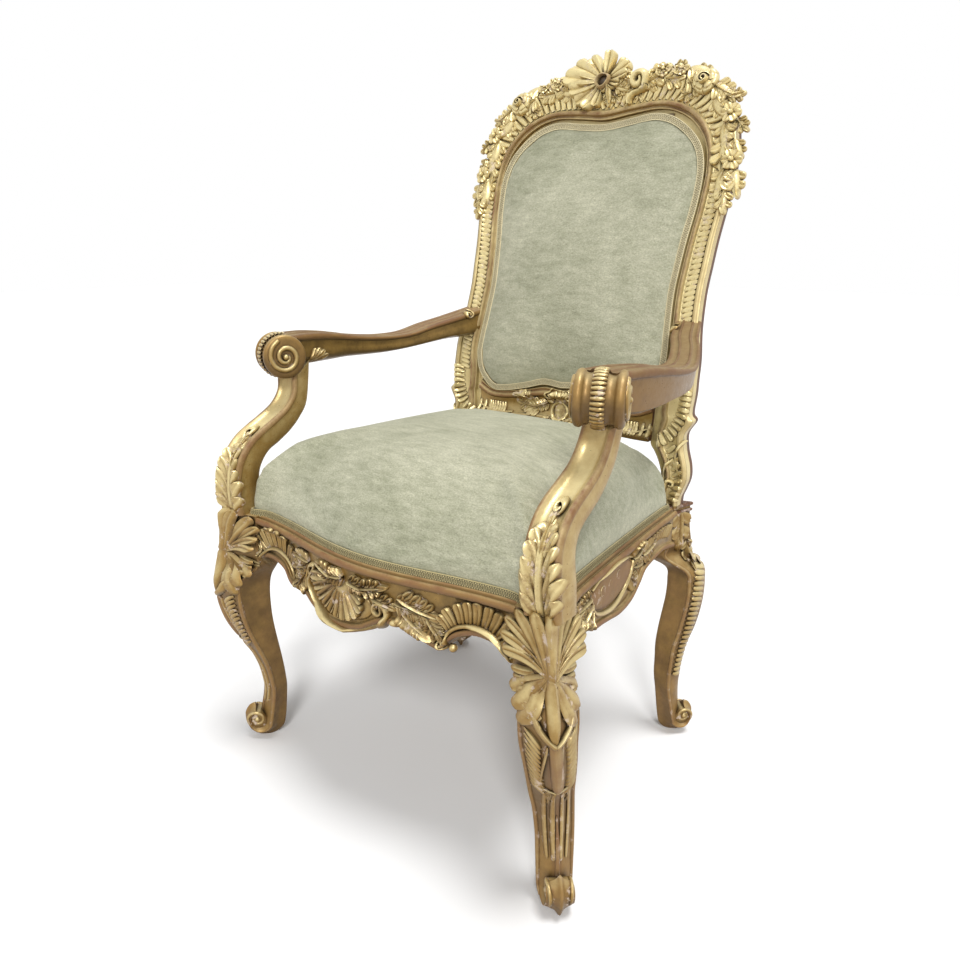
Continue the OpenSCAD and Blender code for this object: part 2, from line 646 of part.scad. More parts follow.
// Seat upholstery: webbing on the ledges, hessian on the webbing, then the stuffed and covered seat
web_places_share = [-0.75, -0.25, 0.25, 0.75];
web_rest = bead_width * 0.9;
module seat_webbing() color(linen) {
    for (share = web_places_share) {
        x = post_joint_x * share * 0.9;
        front_y = -rail_inner_front - web_rest;
        translate([x - web_width / 2, front_y, ledge_height])
            cube([web_width, rear_tenon_y + web_rest / 2 - front_y, web_thickness]);
    }
    for (share = web_places_share) {
        y = (post_joint_y - leg_joint_y) / 2 + side_length / 2 * share * 0.85;
        half = side_inner(y) + web_rest * 0.6;
        translate([-half, y - web_width / 2, ledge_height + web_thickness]) cube([2 * half, web_width, web_thickness]);
    }
}
gimp_set = bead_width + gimp_thickness + 2 * glue_gap;
half_seat_plan = concat(
    [for (share = [0, 0.22, 0.43, 0.62, 0.82, 0.95]) [leg_joint_x * share, front_face(leg_joint_x * share) + gimp_set]],
    [for (p = seat_notch_share) [leg_joint_x + leg_block * p[0], -leg_joint_y - leg_block * p[1]]],
    [
        for (share = [0.13, 0.25, 0.4, 0.6, 0.8, 0.92])
            let (y = -leg_joint_y + side_length * share) [side_face(y) - gimp_set, y]
    ],
    [
        [side_face(post_joint_y) - gimp_set, post_joint_y - post_block * 0.12],
        [post_joint_x - post_block * 0.1, post_joint_y - post_block * 0.1],
        [post_joint_x - post_block * 0.14, rear_tenon_y],
        [0, rear_tenon_y]
    ]
);
seat_plan = concat(half_seat_plan, [for (i = [len(half_seat_plan) - 2 : -1 : 1]) [-half_seat_plan[i][0], half_seat_plan[i][1]]]);
seat_middle = [0, -leg_block];
function plan_ring(plan, middle, share, z, size = 0) = [
    for (p = plan)
        let (
            ray = [p[0] - middle[0], p[1] - middle[1]],
            even = size == 0 ? ray : ray / norm(ray) * size,
            place = ray * (1 - dome_round_share * (1 - share)) + even * dome_round_share * (1 - share)
        )
        [middle[0] + place[0] * share, middle[1] + place[1] * share, z]
];
cushion_base = ledge_height + 2 * web_thickness + cloth_thickness + 2 * glue_gap;
function dome(share) = pow(max(0, 1 - pow(share, 3.2)), 0.56);
module seat_cushion() color(velvet) loft(concat(
    [plan_ring(seat_plan, seat_middle, 1, cushion_base)],
    [for (share = dome_ring_share)
        plan_ring(
            seat_plan, seat_middle, share, ledge_height + seat_edge + seat_crown * dome(share), leg_joint_x
        )]
));
module seat_hessian() color(linen) translate([0, 0, ledge_height + 2 * web_thickness]) linear_extrude(cloth_thickness)
    polygon([for (p = plan_ring(seat_plan, seat_middle, 0.97, 0)) [p[0], p[1]]]);

// Outline moved out by a distance along the mean of its two edge normals
function edge_normal(a, b) = let (d = b - a) [d[1], -d[0]] / norm(d);
function moved_out(plan, distance) = [
    for (i = [0 : len(plan) - 1])
        let (
            n1 = edge_normal(plan[(i + len(plan) - 1) % len(plan)], plan[i]),
            n2 = edge_normal(plan[i], plan[(i + 1) % len(plan)]),
            n = n1 + n2
        )
        plan[i] + n * 2 * distance / (n * n)
];
module seat_rebate() {
    translate([0, 0, ledge_height]) linear_extrude(bead_height + cut)
        polygon(moved_out(seat_plan, gimp_thickness + 4 * glue_gap));
}
module seat_gimp() color(braid) translate([0, 0, ledge_height + web_thickness + glue_gap]) difference() {
    linear_extrude(gimp_width) polygon(moved_out(seat_plan, 2 * glue_gap + gimp_thickness));
    translate([0, 0, -cut]) linear_extrude(gimp_width + 2 * cut) polygon(moved_out(seat_plan, 2 * glue_gap));
}

// Back upholstery on the ledge of the back frame, worked in the plane of the back
pad_lap_share = 0.009;
half_pad_plan = concat(
    [for (i = [0 : 4]) [lower_rail_share[i][0], lower_rail_share[i][1] - pad_lap_share]],
    [[lower_joint[0], lower_joint[1] - pad_lap_share / 3]],
    [for (i = [10 : 17]) [stile_share[i][1] + 0.03, stile_share[i][0]]],
    [for (i = [1 : 7]) [crest_share[i][0] + 0.03 * (1 - i / 7), crest_share[i][1] + 0.007 * i / 7]]
);
pad_points = [for (p = half_pad_plan) [back_half_width * p[0], total_height * p[1]]];
pad_plan = concat(pad_points, [for (i = [len(pad_points) - 2 : -1 : 1]) [-pad_points[i][0], pad_points[i][1]]]);
pad_middle = [0, total_height * 0.72];
function on_frame(plan, share, depth) = [
    for (p = plan_ring(plan, pad_middle, share, 0)) [p[0], back_face(p[1]) + depth, p[1]]
];
module strap(x, low, high) loft([
    for (z = [low, bend_height, high]) [
        for (c = [[-0.5, -1], [0.5, -1], [0.5, 0], [-0.5, 0]])
            [x + web_width * c[0], back_face(z) + frame_ledge + web_thickness * c[1], z]
    ]
]);
arch_share = [for (i = [len(crest_share) - 1 : -1 : 0]) crest_share[i]];
module back_webbing() color(linen) for (share = [-0.4, 0, 0.4])
    strap(
        back_half_width * share,
        total_height * along(lower_rail_share, abs(share), 1) - web_rest / 2,
        total_height * along(arch_share, abs(share), 1) + web_rest / 2
    );
pad_ring_share = [1, 0.97, 0.9, 0.75, 0.5, 0.2];
module back_pad() color(velvet) loft(concat(
    [for (share = [0.2, 0.76, 1]) on_frame(pad_plan, share, frame_ledge - web_thickness - glue_gap)],
    [for (share = pad_ring_share)
        on_frame(pad_plan, share, frame_ledge * 0.45 - back_crown * dome(share))]
));
module band(inner, outer, back_depth, front_depth) difference() {
    loft([on_frame(moved_out(pad_plan, outer), 1, back_depth), on_frame(moved_out(pad_plan, outer), 1, front_depth)]);
    loft([
        on_frame(moved_out(pad_plan, inner), 1, back_depth + cut),
        on_frame(moved_out(pad_plan, inner), 1, front_depth - cut)
    ]);
}
module back_gimp() color(braid)
    band(2 * glue_gap, 2 * glue_gap + gimp_thickness, frame_ledge - web_thickness, frame_ledge * 0.2);
cover_depth = frame_depth + cloth_thickness + 2 * glue_gap;
cover_plan = moved_out(pad_plan, gimp_width / 2);
module outside_back_cover() color(velvet) loft(concat(
    [for (share = [0.2, 0.76, 1]) on_frame(cover_plan, share, cover_depth)],
    [for (share = [1, 0.76, 0.2]) on_frame(cover_plan, share, cover_depth - cloth_thickness)]
));
module outside_back_gimp() color(braid)
    band(-gimp_width / 2, gimp_width / 2, cover_depth + gimp_thickness, cover_depth + glue_gap);

// Applied carving, worked on the flat ground of the back frame
ground_depth = frame_depth * ground_share;
module on_back(depth) translate([0, back_setback + depth, bend_height]) rotate([90 - back_recline, 0, 0]) children();
carving_height = carving_ground * 2;
function on_plane(x_share, z_share) =
    [back_half_width * x_share, (total_height * z_share - bend_height) / cos(back_recline)];
function oval(across, up) = [for (a = [0 : 15 : 345]) [across * cos(a), up * sin(a)]];
function petals(radius, count) = [
    for (a = [0 : 9 : 351]) radius * (0.7 + 0.3 * abs(cos(count * a / 2))) * [cos(a), sin(a)]
];
function scallop(radius, count, valley_share) = [
    for (i = [0 : 2 * count - 1])
        radius * (i % 2 == 0 ? 1 : valley_share) * [cos(180 * i / count), sin(180 * i / count)]
];
function spiral(radius, turn, width) = concat(
    [for (a = [0 : 18 : turn]) radius * (1 - 0.62 * a / turn) * [cos(a), sin(a)]],
    [for (a = [turn : -18 : 0]) (radius * (1 - 0.62 * a / turn) - width * (1 - 0.5 * a / turn)) * [cos(a), sin(a)]]
);
function leaf(length, width) = [
    [0, 0], [length * 0.2, -width * 0.4], [length * 0.5, -width * 0.5], [length * 0.8, -width * 0.3],
    [length, 0], [length * 0.8, width * 0.3], [length * 0.5, width * 0.5], [length * 0.2, width * 0.4]
];
module flower(radius) {
    linear_extrude(carving_height * 0.8) polygon(petals(radius, 5));
    cylinder(r = radius * 0.36, h = carving_height);
}
module leaf_at(turn, length, width) rotate([0, 0, turn]) linear_extrude(carving_ground * 1.3) polygon(leaf(length, width));
module frame_loft() {
    crest_loft();
    for (side = [0, 1]) mirror([side, 0, 0]) stile_loft();
}

module crest_shell() color(gold) difference() {
    on_back(ground_depth) translate(on_plane(-0.02, 0.964)) difference() {
        union() {
            linear_extrude(carving_ground) polygon(scallop(shell_radius, 2 * shell_ribs, 0.9));
            linear_extrude(carving_ground * 1.35) polygon(scallop(shell_radius * 0.93, 2 * shell_ribs, 0.62));
            cylinder(r = shell_eye_radius * 1.6, h = carving_height);
        }
        translate([0, 0, -cut]) cylinder(r = shell_eye_radius, h = shell_radius);
    }
    crest_loft();
}
module crest_volute() color(gold) difference() {
    on_back(ground_depth) translate(on_plane(0.21, 0.978)) {
        linear_extrude(carving_height) polygon(spiral(shell_radius * 0.5, 450, shell_radius * 0.17));
        linear_extrude(carving_ground) polygon(oval(shell_radius * 0.4, shell_radius * 0.36));
        leaf_at(-40, shell_radius * 0.95, shell_radius * 0.36);
    }
    crest_loft();
}
// Flowers from the shell down to the stile: place across and up, size, turn of the leaf beside
flower_share = [
    [0.43, 0.974, 0.8, 160], [0.62, 0.952, 1, 150], [0.79, 0.926, 0.85, 120], [0.91, 0.893, 0.95, 110],
    [0.97, 0.851, 0.75, 100]
];
module crest_flowers() difference() {
    on_back(ground_depth) union() {
        for (row = flower_share) translate(on_plane(row[0], row[1])) {
            flower(flower_radius * row[2]);
            leaf_at(row[3], flower_radius * 2.1, flower_radius * 0.9);
            leaf_at(row[3] + 200, flower_radius * 2, flower_radius * 0.9);
        }
    }
    frame_loft();
}
module crest_flowers_left() color(gold) mirror([1, 0, 0]) crest_flowers();
module crest_flowers_right() color(gold) crest_flowers();
rosette_z = total_height * 0.497;
module back_rail_rosette() color(gold) difference() {
    translate([0, back_face(rosette_z) + ground_depth, rosette_z]) rotate([90 - back_recline / 3, 0, 0]) union() {
        flower(flower_radius * 1.1);
        for (turn = [0, 180]) leaf_at(turn, flower_radius * 3, flower_radius * 1.3);
    }
    lower_rail_loft();
}
// Carving on the front rail and the side rails
shell_bed = carving_ground + front_bow;
module apron_shell() color(gold) difference() {
    translate([-leg_joint_x * 0.12, front_face(0) - carving_ground * 0.63, seat_height - apron_depth * 0.55])
        rotate([90, 0, 0]) mirror([0, 0, 1]) union() {
            linear_extrude(shell_bed) polygon(scallop(shell_radius * 0.95, 2 * shell_ribs, 0.86));
            for (turn = [-4, 184]) rotate([0, 0, turn])
                linear_extrude(shell_bed) polygon(leaf(shell_radius * 2, shell_radius * 0.7));
        }
    rail_shadow();
}
cartouche_y = -leg_block * 1.5;
side_turn = atan((seat_front_width - seat_back_width) / 2 / side_length);
module side_cartouche() difference() {
    translate([side_face(cartouche_y) + carving_ground * 0.6, cartouche_y, seat_height - apron_depth * 0.4])
        rotate([0, 0, side_turn]) rotate([90, 0, 90]) mirror([0, 0, 1]) union() {
            linear_extrude(carving_ground * 3) polygon(oval(leg_block * 1.1, leg_block * 0.42));
            for (turn = [0, 180]) rotate([0, 0, turn])
                linear_extrude(carving_ground * 3) polygon(leaf(leg_block * 1.5, leg_block * 0.5));
        }
    side_rail_loft();
}
module side_cartouche_left() color(gold) mirror([1, 0, 0]) side_cartouche();
module side_cartouche_right() color(gold) side_cartouche();
module rail_shadow() {
    front_rail_body();
    translate([-leg_joint_x, -rail_inner_front - rail_thickness * 0.9, seat_height - apron_depth * 2])
        cube([2 * leg_joint_x, rail_thickness, apron_depth * 2]);
}
front_leg_left();
front_leg_right();
rear_post_left();
rear_post_right();
front_rail();
side_rail_left();
side_rail_right();
rear_rail();
crest_rail();
lower_back_rail();
arm_left();
arm_right();
arm_support_left();
arm_support_right();
corner_block_front_left();
corner_block_front_right();
corner_block_back_left();
corner_block_back_right();
corner_screws();
dowels();
seat_webbing();
seat_hessian();
seat_cushion();
seat_gimp();
back_webbing();
back_pad();
back_gimp();
outside_back_cover();
outside_back_gimp();
crest_shell();
crest_volute();
crest_flowers_left();
crest_flowers_right();
back_rail_rosette();
apron_shell();
side_cartouche_left();
side_cartouche_right();
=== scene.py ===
from math import atan, atan2, cos, exp, pi, radians, sin, sqrt, tan

import bmesh
import bpy
from bpy.props import FloatProperty, FloatVectorProperty, PointerProperty
from mathutils import Matrix, Vector
from mathutils.bvhtree import BVHTree


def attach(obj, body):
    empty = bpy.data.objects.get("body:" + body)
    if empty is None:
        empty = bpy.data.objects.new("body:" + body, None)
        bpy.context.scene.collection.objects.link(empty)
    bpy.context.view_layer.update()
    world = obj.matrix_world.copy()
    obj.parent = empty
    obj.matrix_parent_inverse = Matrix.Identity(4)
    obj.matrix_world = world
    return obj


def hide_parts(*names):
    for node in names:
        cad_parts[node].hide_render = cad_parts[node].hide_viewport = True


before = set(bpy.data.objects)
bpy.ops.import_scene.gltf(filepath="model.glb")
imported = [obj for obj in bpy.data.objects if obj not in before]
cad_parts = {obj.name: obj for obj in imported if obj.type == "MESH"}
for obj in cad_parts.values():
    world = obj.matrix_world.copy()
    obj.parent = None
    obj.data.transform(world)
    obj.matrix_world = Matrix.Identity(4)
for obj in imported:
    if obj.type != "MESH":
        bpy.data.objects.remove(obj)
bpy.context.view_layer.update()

bl_info = {
    "name": "Carved open armchair",
    "version": (1, 0, 0),
    "blender": (4, 5, 0),
    "location": "3D View > Sidebar > Armchair",
    "description": "Gilded carving, velvet and braid for the open armchair",
    "category": "Object",
}

MM = 0.001


def metres(label, about, value):
    return FloatProperty(name=label, description=about, default=value, unit="LENGTH")


def tint(label, about, value):
    return FloatVectorProperty(name=label, description=about, default=value, subtype="COLOR")


class ChairSizes(bpy.types.PropertyGroup):
    """Lengths of the chair that its visible pieces follow"""
    total_height: metres("Total height", "Top of the crest", 1.12)
    seat_height: metres("Seat height", "Top of the seat rails", 0.437)
    seat_front: metres("Front width", "Across the front corners", 0.604)
    seat_back: metres("Back width", "Across the back corners", 0.486)
    front_reach: metres("Front reach", "Front corners from the middle", 0.302)
    back_reach: metres("Back reach", "Back corners from the middle", 0.216)
    front_foot: metres("Front feet", "Spread of the front feet", 0.627)
    back_foot: metres("Back feet", "Spread of the back feet", 0.512)
    back_half: metres("Back half width", "Half of the narrowest back", 0.23)
    frame_depth: metres("Frame depth", "Thickness of the back frame", 0.046)
    recline: FloatProperty(name="Recline", description="Lean of the back", default=radians(13.6),
                           subtype="ANGLE")
    arm_height: metres("Arm height", "Middle of the arm scrolls", 0.67)
    braid_width: metres("Braid width", "Width of the braid", 0.0125)


class ChairColours(bpy.types.PropertyGroup):
    """Colours of the finishes"""
    gold: tint("Gold", "Aged leaf", (0.33, 0.20, 0.055))
    # The bright colour is a painted highlight on the upward faces and heights of the leaf, partly rubbed leaf
    bright: tint("Bright gold", "Rubbed leaf", (0.80, 0.67, 0.34))
    # The glaze colour is part real glaze and part painted shade in the hollows of the leaf, and all painted
    # shade in the shell's eye
    glaze_and_shade: tint("Glaze", "Dirt in the hollows", (0.036, 0.021, 0.008))
    bole: tint("Bole", "Red clay under the leaf", (0.21, 0.10, 0.036))
    gesso: tint("Gesso", "White ground in the chips", (0.68, 0.56, 0.47))
    timber: tint("Timber", "Stained back of the frame", (0.115, 0.047, 0.018))
    velvet: tint("Velvet", "Pile in shade", (0.275, 0.28, 0.188))
    pile: tint("Brushed pile", "Pile that lies to the light", (0.515, 0.505, 0.378))
    braid: tint("Braid", "Thread of the back's braid", (0.82, 0.72, 0.45))
    cord: tint("Seat braid", "Thread of the seat's braid", (0.50, 0.42, 0.20))


def sizes():
    return bpy.context.scene.chair_sizes


def colour(name):
    return tuple(getattr(bpy.context.scene.chair_colours, name)) + (1.0,)


# Shares of the wooden members, as in the construction of the frame

LEG_SECTION = [(0, 0), (0.25, 0.5), (0.46, 0.92), (0.54, 1), (0.66, 0.86), (0.82, 0.56), (0.94, 0.26),
               (1, 0)]
BLOCK_SECTION = [(0, 0), (0.35, 0), (0.66, 0), (0.72, 0.06), (0.78, 0.34), (0.88, 0.64), (0.95, 0.86),
                 (0.98, 0.98)]
FRONT_BLOCK = [(1, 1.06, 1.06, 0), (0.96, 1.11, 1.08, 0), (0.9, 1.21, 1.1, 0), (0.845, 1.31, 1.14, 0),
               (0.8, 1.31, 1.1, 0.06)]
FRONT_LEG = [(0.745, 0.49, -0.52, -0.31, 1), (0.69, 0.515, -0.46, -0.29, 1),
             (0.62, 0.47, -0.445, -0.27, 0.95), (0.55, 0.38, -0.45, -0.22, 0.89),
             (0.48, 0.23, -0.48, -0.17, 0.83), (0.41, 0.04, -0.52, -0.12, 0.77),
             (0.34, -0.08, -0.555, -0.06, 0.71), (0.27, -0.135, -0.58, -0.02, 0.68),
             (0.21, -0.14, -0.58, 0, 0.66)]
BACK_LEG = [(0.2, -0.07, -0.56, 0, 0.66), (0.27, -0.07, -0.62, 0, 0.68), (0.34, -0.05, -0.64, 0.01, 0.7),
            (0.41, 0.01, -0.66, 0.02, 0.74), (0.48, 0.12, -0.64, 0.03, 0.8), (0.55, 0.19, -0.6, 0.04, 0.84),
            (0.62, 0.22, -0.56, 0.05, 0.88), (0.69, 0.21, -0.56, 0.05, 0.88),
            (0.745, 0.15, -0.63, 0.04, 0.88)]
BACK_BLOCK = [(0.8, 1.12, 1.12, -0.04), (0.845, 1.1, 1.1, 0), (0.9, 1.04, 1.04, 0), (0.96, 1, 1, 0),
              (1, 1, 1, 0)]
HEEL = [(-90, 1, 0.64), (-60, 0.97, 0.64), (-30, 0.89, 0.62), (0, 0.79, 0.6), (25, 0.67, 0.58),
        (45, 0.57, 0.57), (68, 0.51, 0.56), (93, 0.49, 0.56), (120, 0.53, 0.55), (150, 0.6, 0.54),
        (172, 0.64, 0.5)]
# Moulding of the back frame from the opening outward: place across, place through the depth, wear to the clay
FRAME_SECTION = [(0, 0.3, 0), (0, 0.3, 0), (0.17, 0.3, 0), (0.2, 0.26, 0), (0.205, 0.15, 0.1),
                 (0.225, 0.12, 0.5), (0.25, 0.135, 0.9), (0.275, 0.13, 0.9), (0.29, 0.07, 0.4),
                 (0.31, 0.015, 0.9), (0.345, 0, 1), (0.38, 0.02, 0.7), (0.4, 0.08, 0.2), (0.42, 0.12, 0),
                 (0.46, 0.135, 0), (0.53, 0.16, 0), (0.62, 0.17, 0), (0.71, 0.15, 0), (0.78, 0.12, 0),
                 (0.815, 0.1, 0), (0.83, 0.03, 0.2), (0.86, 0, 0.3), (0.92, 0.005, 0.3), (0.96, 0.05, 0.3),
                 (1, 0.08, 0), (1, 0.1, 0), (0.985, 0.5, -1), (0.95, 0.68, -1), (0.74, 1, -1),
                 (0.74, 1, -1), (0.4, 1, -1), (0.04, 1, -1), (0.04, 1, -1), (0, 0.9, -1), (0, 0.5, 0)]
STILE_SINK = 0.004
STILE = [(0.402, 0.852, 1.03), (0.4134, 0.861, 1.048), (0.431, 0.865, 1.07), (0.448, 0.835, 1.061),
         (0.4616, 0.796, 1.039), (0.473, 0.757, 1.022), (0.493, 0.757, 1.009), (0.512, 0.757, 1.057),
         (0.5215, 0.757, 1.026), (0.548, 0.757, 1.03), (0.567, 0.768, 1.026), (0.5955, 0.77, 1.017),
         (0.634, 0.752, 0.983), (0.679, 0.735, 0.965), (0.714, 0.74, 0.968), (0.75, 0.752, 0.974),
         (0.79, 0.774, 0.99), (0.83, 0.778, 1.004)]
CREST = [(0.778, 0.83, 1.004, 0.83, 1), (0.757, 0.8545, 0.995, 0.862, 0.9),
         (0.709, 0.873, 0.952, 0.898, 0.86), (0.613, 0.891, 0.865, 0.93, 0.84),
         (0.5, 0.9035, 0.715, 0.95, 0.82), (0.365, 0.908, 0.513, 0.9625, 0.8),
         (0.178, 0.9025, 0.26, 0.968, 0.8), (0, 0.898, 0, 0.9645, 0.8)]
LOWER_RAIL = [(0, 0.5455, 0, 0.478, 1), (0.15, 0.5475, 0.15, 0.478, 1), (0.3, 0.5395, 0.3, 0.478, 1),
              (0.5, 0.531, 0.5, 0.477, 1), (0.64, 0.5315, 0.64, 0.476, 1), (0.757, 0.5465, 0.757, 0.476, 1)]
ARM = [(0, 0.993, 1.0492, 1.5, 0.97), (0.126, 1.014, 1.0492, 1.67, 0.97), (0.262, 1.025, 1.0417, 1.51, 0.93),
       (0.372, 1.021, 1.0313, 1.24, 0.9), (0.484, 1.003, 1.0238, 1.09, 0.86),
       (0.596, 0.972, 1.0208, 1, 0.83), (0.7, 0.926, 1.0253, 0.97, 0.79),
       (0.802, 0.87, 1.0432, 1.155, 0.78), (0.896, 0.807, 1.0581, 1.27, 0.76), (1, 0.73, 1.082, 1.64, 0.72)]
# Moulding of the arm from the middle of its top round one half: across, up, wear
ARM_SECTION = [(0, 0.965, 0.6), (0.2, 0.965, 0.6), (0.28, 0.965, 0.6), (0.32, 0.995, 1), (0.4, 1, 1),
               (0.46, 0.97, 0.6), (0.52, 0.95, 0.5), (0.72, 0.95, 0.5), (0.8, 0.97, 0.9), (0.94, 0.955, 1),
               (1, 0.9, 1), (1, 0.84, 0.8), (0.96, 0.79, 0.3), (0.89, 0.77, 0), (0.87, 0.72, 0),
               (0.86, 0.5, 0), (0.82, 0.2, 0), (0.6, 0, 0.2)]
SUPPORT = [(0, 0, 0, 0.06, 1, 1.06), (0.17, -0.03, 0.17, 0.05, 0.92, 1.04),
           (0.354, 0, 0.3, 0.05, 0.58, 1.02), (0.474, 0.08, 0.39, 0.1, 0.25, 1),
           (0.583, 0.24, 0.464, 0.2, 0, 1), (0.656, 0.43, 0.516, 0.36, -0.17, 0.99),
           (0.714, 0.62, 0.589, 0.56, -0.25, 0.98), (0.79, 0.83, 0.682, 0.73, -0.33, 0.96),
           (0.89, 0.96, 0.807, 0.87, -0.33, 0.94), (1, 1, 1.12, 0.98, 0, 0.93)]
# Moulding of the arm support: place from front to back, across, wear
SUPPORT_SECTION = [(0.16, 0, 0), (0.15, 0.3, 0), (0.1, 0.52, 0), (0.02, 0.68, 0.2), (0, 0.72, 0.6),
                   (-0.01, 0.82, 1), (0.03, 0.94, 1), (0.12, 1, 0.9), (0.2, 0.98, 0.4), (0.24, 0.95, 0),
                   (0.6, 0.97, 0), (0.9, 0.86, 0), (1, 0.5, 0), (1, 0, 0)]
APRON = [(-1, 0.64), (-0.9, 0.57), (-0.8, 0.57), (-0.71, 0.63), (-0.66, 0.77), (-0.61, 0.81), (-0.55, 0.76),
         (-0.5, 0.73), (-0.46, 0.79), (-0.41, 0.86), (-0.35, 0.92), (-0.25, 0.98), (-0.1, 0.97),
         (0.04, 0.9), (0.13, 0.79), (0.2, 0.71), (0.32, 0.66), (0.41, 0.72), (0.5, 0.82), (0.57, 0.85),
         (0.61, 0.74), (0.67, 0.62), (0.78, 0.54), (0.9, 0.58), (1, 0.72)]
SIDE_RAIL = [(0, 0.3, 0.63), (0.05, 0.7, 0.59), (0.12, 1, 0.58), (0.2, 1, 0.62), (0.25, 0.98, 0.76),
             (0.32, 0.92, 0.8), (0.38, 0.88, 0.84), (0.48, 0.78, 0.9), (0.58, 0.65, 0.86),
             (0.65, 0.58, 0.72), (0.7, 0.52, 0.58), (0.78, 0.38, 0.53), (0.88, 0.2, 0.51), (1, 0, 0.6)]
SEAT_NOTCH = [(0.3, 0.62), (0.33, 0.27), (0.52, 0.22), (0.55, -0.12)]
# Lengths in millimetres that the members share
LEG_BLOCK, POST_BLOCK, RAIL, BOW, HOLLOW, APRON_DEPTH = 56, 53, 32, 34, 12, 108
BEAD_WIDTH, BEAD_HEIGHT, KNEE_DEPTH, KNEE_WIDTH = 14, 7, 85, 70
FRONT_HEEL, BACK_HEEL, FOOT_WIDTH, FOOT_FLAT = 48, 43, 40, 1.5
SETBACK, BEND, GIMP_SET = 186, 650, 17.3
FRONT_FOOT_REACH, BACK_FOOT_REACH = 267, 228
ARM_SPREAD, ARM_REACH, ARM_WIDTH, ARM_ROLL, ROLL_BAND, ROLL_FACE = 285, 186, 58, 33, 32.8, 29.5
ARM_TURN = 23
SUPPORT_DEPTH, SUPPORT_WIDTH = 41, 47
SEAT_MIDDLE, SEAT_ROUND, SEAT_CROWN, SEAT_SWELL, REAR_SWELL = -56, 246, 128, 20, 10
PAD_MIDDLE, PAD_CROWN, PAD_SHARE = 806, 24, 0.985
BRAID_PITCH = 7.0
# Shares of the braid's width that the seat's and the back's own show
SEAT_BRAID, BACK_BRAID = 0.85, 0.78
SWELL_PRESSURE, SWELL_STEPS = 4.0, 20
# Places of the second and third finish of a piece of the back
TIMBER, PALE = 1, 2
WORLD_LIGHT = 0.38


def catmull(a, b, c, d, t):
    return 0.5 * (2 * b + (c - a) * t + (2 * a - 5 * b + 4 * c - d) * t * t
                  + (3 * b - a - 3 * c + d) * t ** 3)


def smooth_line(points, parts):
    """Points of a smooth line through the given ones"""
    last = len(points) - 1
    line = [
        catmull(points[max(i - 1, 0)], points[i], points[i + 1], points[min(i + 2, last)], k / parts)
        for i in range(last) for k in range(parts)
    ]
    return line + [points[last]]


def smooth_ring(points, parts):
    """Points of a smooth closed line through the given ones"""
    n = len(points)
    return [
        catmull(points[i - 1], points[i], points[(i + 1) % n], points[(i + 2) % n], k / parts)
        for i in range(n) for k in range(parts)
    ]


def smooth_rings(rings, parts):
    """Rings with smooth lines from each one's points to the next one's"""
    lines = [smooth_line([ring[j] for ring in rings], parts) for j in range(len(rings[0]))]
    return [[line[i] for line in lines] for i in range(len(lines[0]))]


def smooth_wear(section, parts):
    """Wear round a section, in step with its smooth ring"""
    return [w.x for w in smooth_ring([Vector((p[2], 0, 0)) for p in section], parts)]


def headings(line):
    """Directions of a closed line at its points"""
    return [(line[(i + 1) % len(line)] - line[i - 1]).normalized() for i in range(len(line))]


def circle(centre, first, second, radius, sides=8):
    """Points round a centre in the plane of two directions"""
    return [
        centre + (first * cos(2 * pi * k / sides) + second * sin(2 * pi * k / sides)) * radius
        for k in range(sides)
    ]


def along(table, place, column):
    """Straight reading of a table between its rows"""
    for a, b in zip(table, table[1:]):
        if place <= b[0] or b is table[-1]:
            return a[column] + (b[column] - a[column]) * (place - a[0]) / (b[0] - a[0])


def even_points(line, count):
    """Places and headings at equal steps along a flat line"""
    lengths = [0.0]
    for a, b in zip(line, line[1:]):
        lengths.append(lengths[-1] + (b - a).length)
    out, i = [], 0
    for k in range(count):
        want = lengths[-1] * (k + 0.5) / count
        while lengths[i + 1] < want:
            i += 1
        t = (want - lengths[i]) / (lengths[i + 1] - lengths[i])
        out.append((line[i].lerp(line[i + 1], t), (line[i + 1] - line[i]).normalized(), want / lengths[-1]))
    return out


def flat(*pairs):
    return [Vector((x, y, 0.0)) for x, y in pairs]


def mirror_half(half):
    return list(half) + [(p[0], -p[1]) + tuple(p[2:]) for p in reversed(half[1:-1])]


# Working a mesh

def new_mesh():
    bm = bmesh.new()
    bm.verts.layers.float.new("worn")
    # The rise of a point on carving and braid sets painted light: a painted highlight on the heights of the
    # gilding, partly rubbed leaf, and painted shade on the low band of the braid
    bm.verts.layers.float.new("rise")
    return bm


def mark(bm, verts, worn=None, rise=None):
    for name, value in (("worn", worn), ("rise", rise)):
        layer = bm.verts.layers.float[name]
        if value is not None:
            for vert in verts:
                vert[layer] = value


def grid(bm, rows, cols):
    """Verts of a flat grid by row and column, ready to be shaped"""
    made = bmesh.ops.create_grid(bm, x_segments=rows, y_segments=cols, size=0.5)["verts"]
    return {(round((v.co.x + 0.5) * rows), round((v.co.y + 0.5) * cols)): v for v in made}


def fill_loop(bm, verts):
    """Close a loop of open edges, taken in the order of its verts, with one face"""
    ring = set(verts)
    edges = [e for v in verts for e in v.link_edges if e.is_boundary and e.other_vert(v) in ring]
    bmesh.ops.edgeloop_fill(bm, edges=list(dict.fromkeys(edges)))


def tube(bm, rings, worn=None, capped=True, rise=None):
    """Closed skin through rings of points"""
    rows, count = len(rings) - 1, len(rings[0])
    cells = grid(bm, rows, count)
    worn_layer, rise_layer = bm.verts.layers.float["worn"], bm.verts.layers.float["rise"]
    for (i, j), vert in cells.items():
        vert.co = rings[i][j % count]
        if worn:
            vert[worn_layer] = worn[j % count] if not isinstance(worn, float) else worn
        if rise is not None:
            vert[rise_layer] = rise
    bmesh.ops.weld_verts(bm, targetmap={cells[i, count]: cells[i, 0] for i in range(rows + 1)})
    if capped:
        for i in (0, rows):
            fill_loop(bm, [cells[i, j] for j in range(count)])
    return [cells[i, j] for i in range(rows + 1) for j in range(count)]


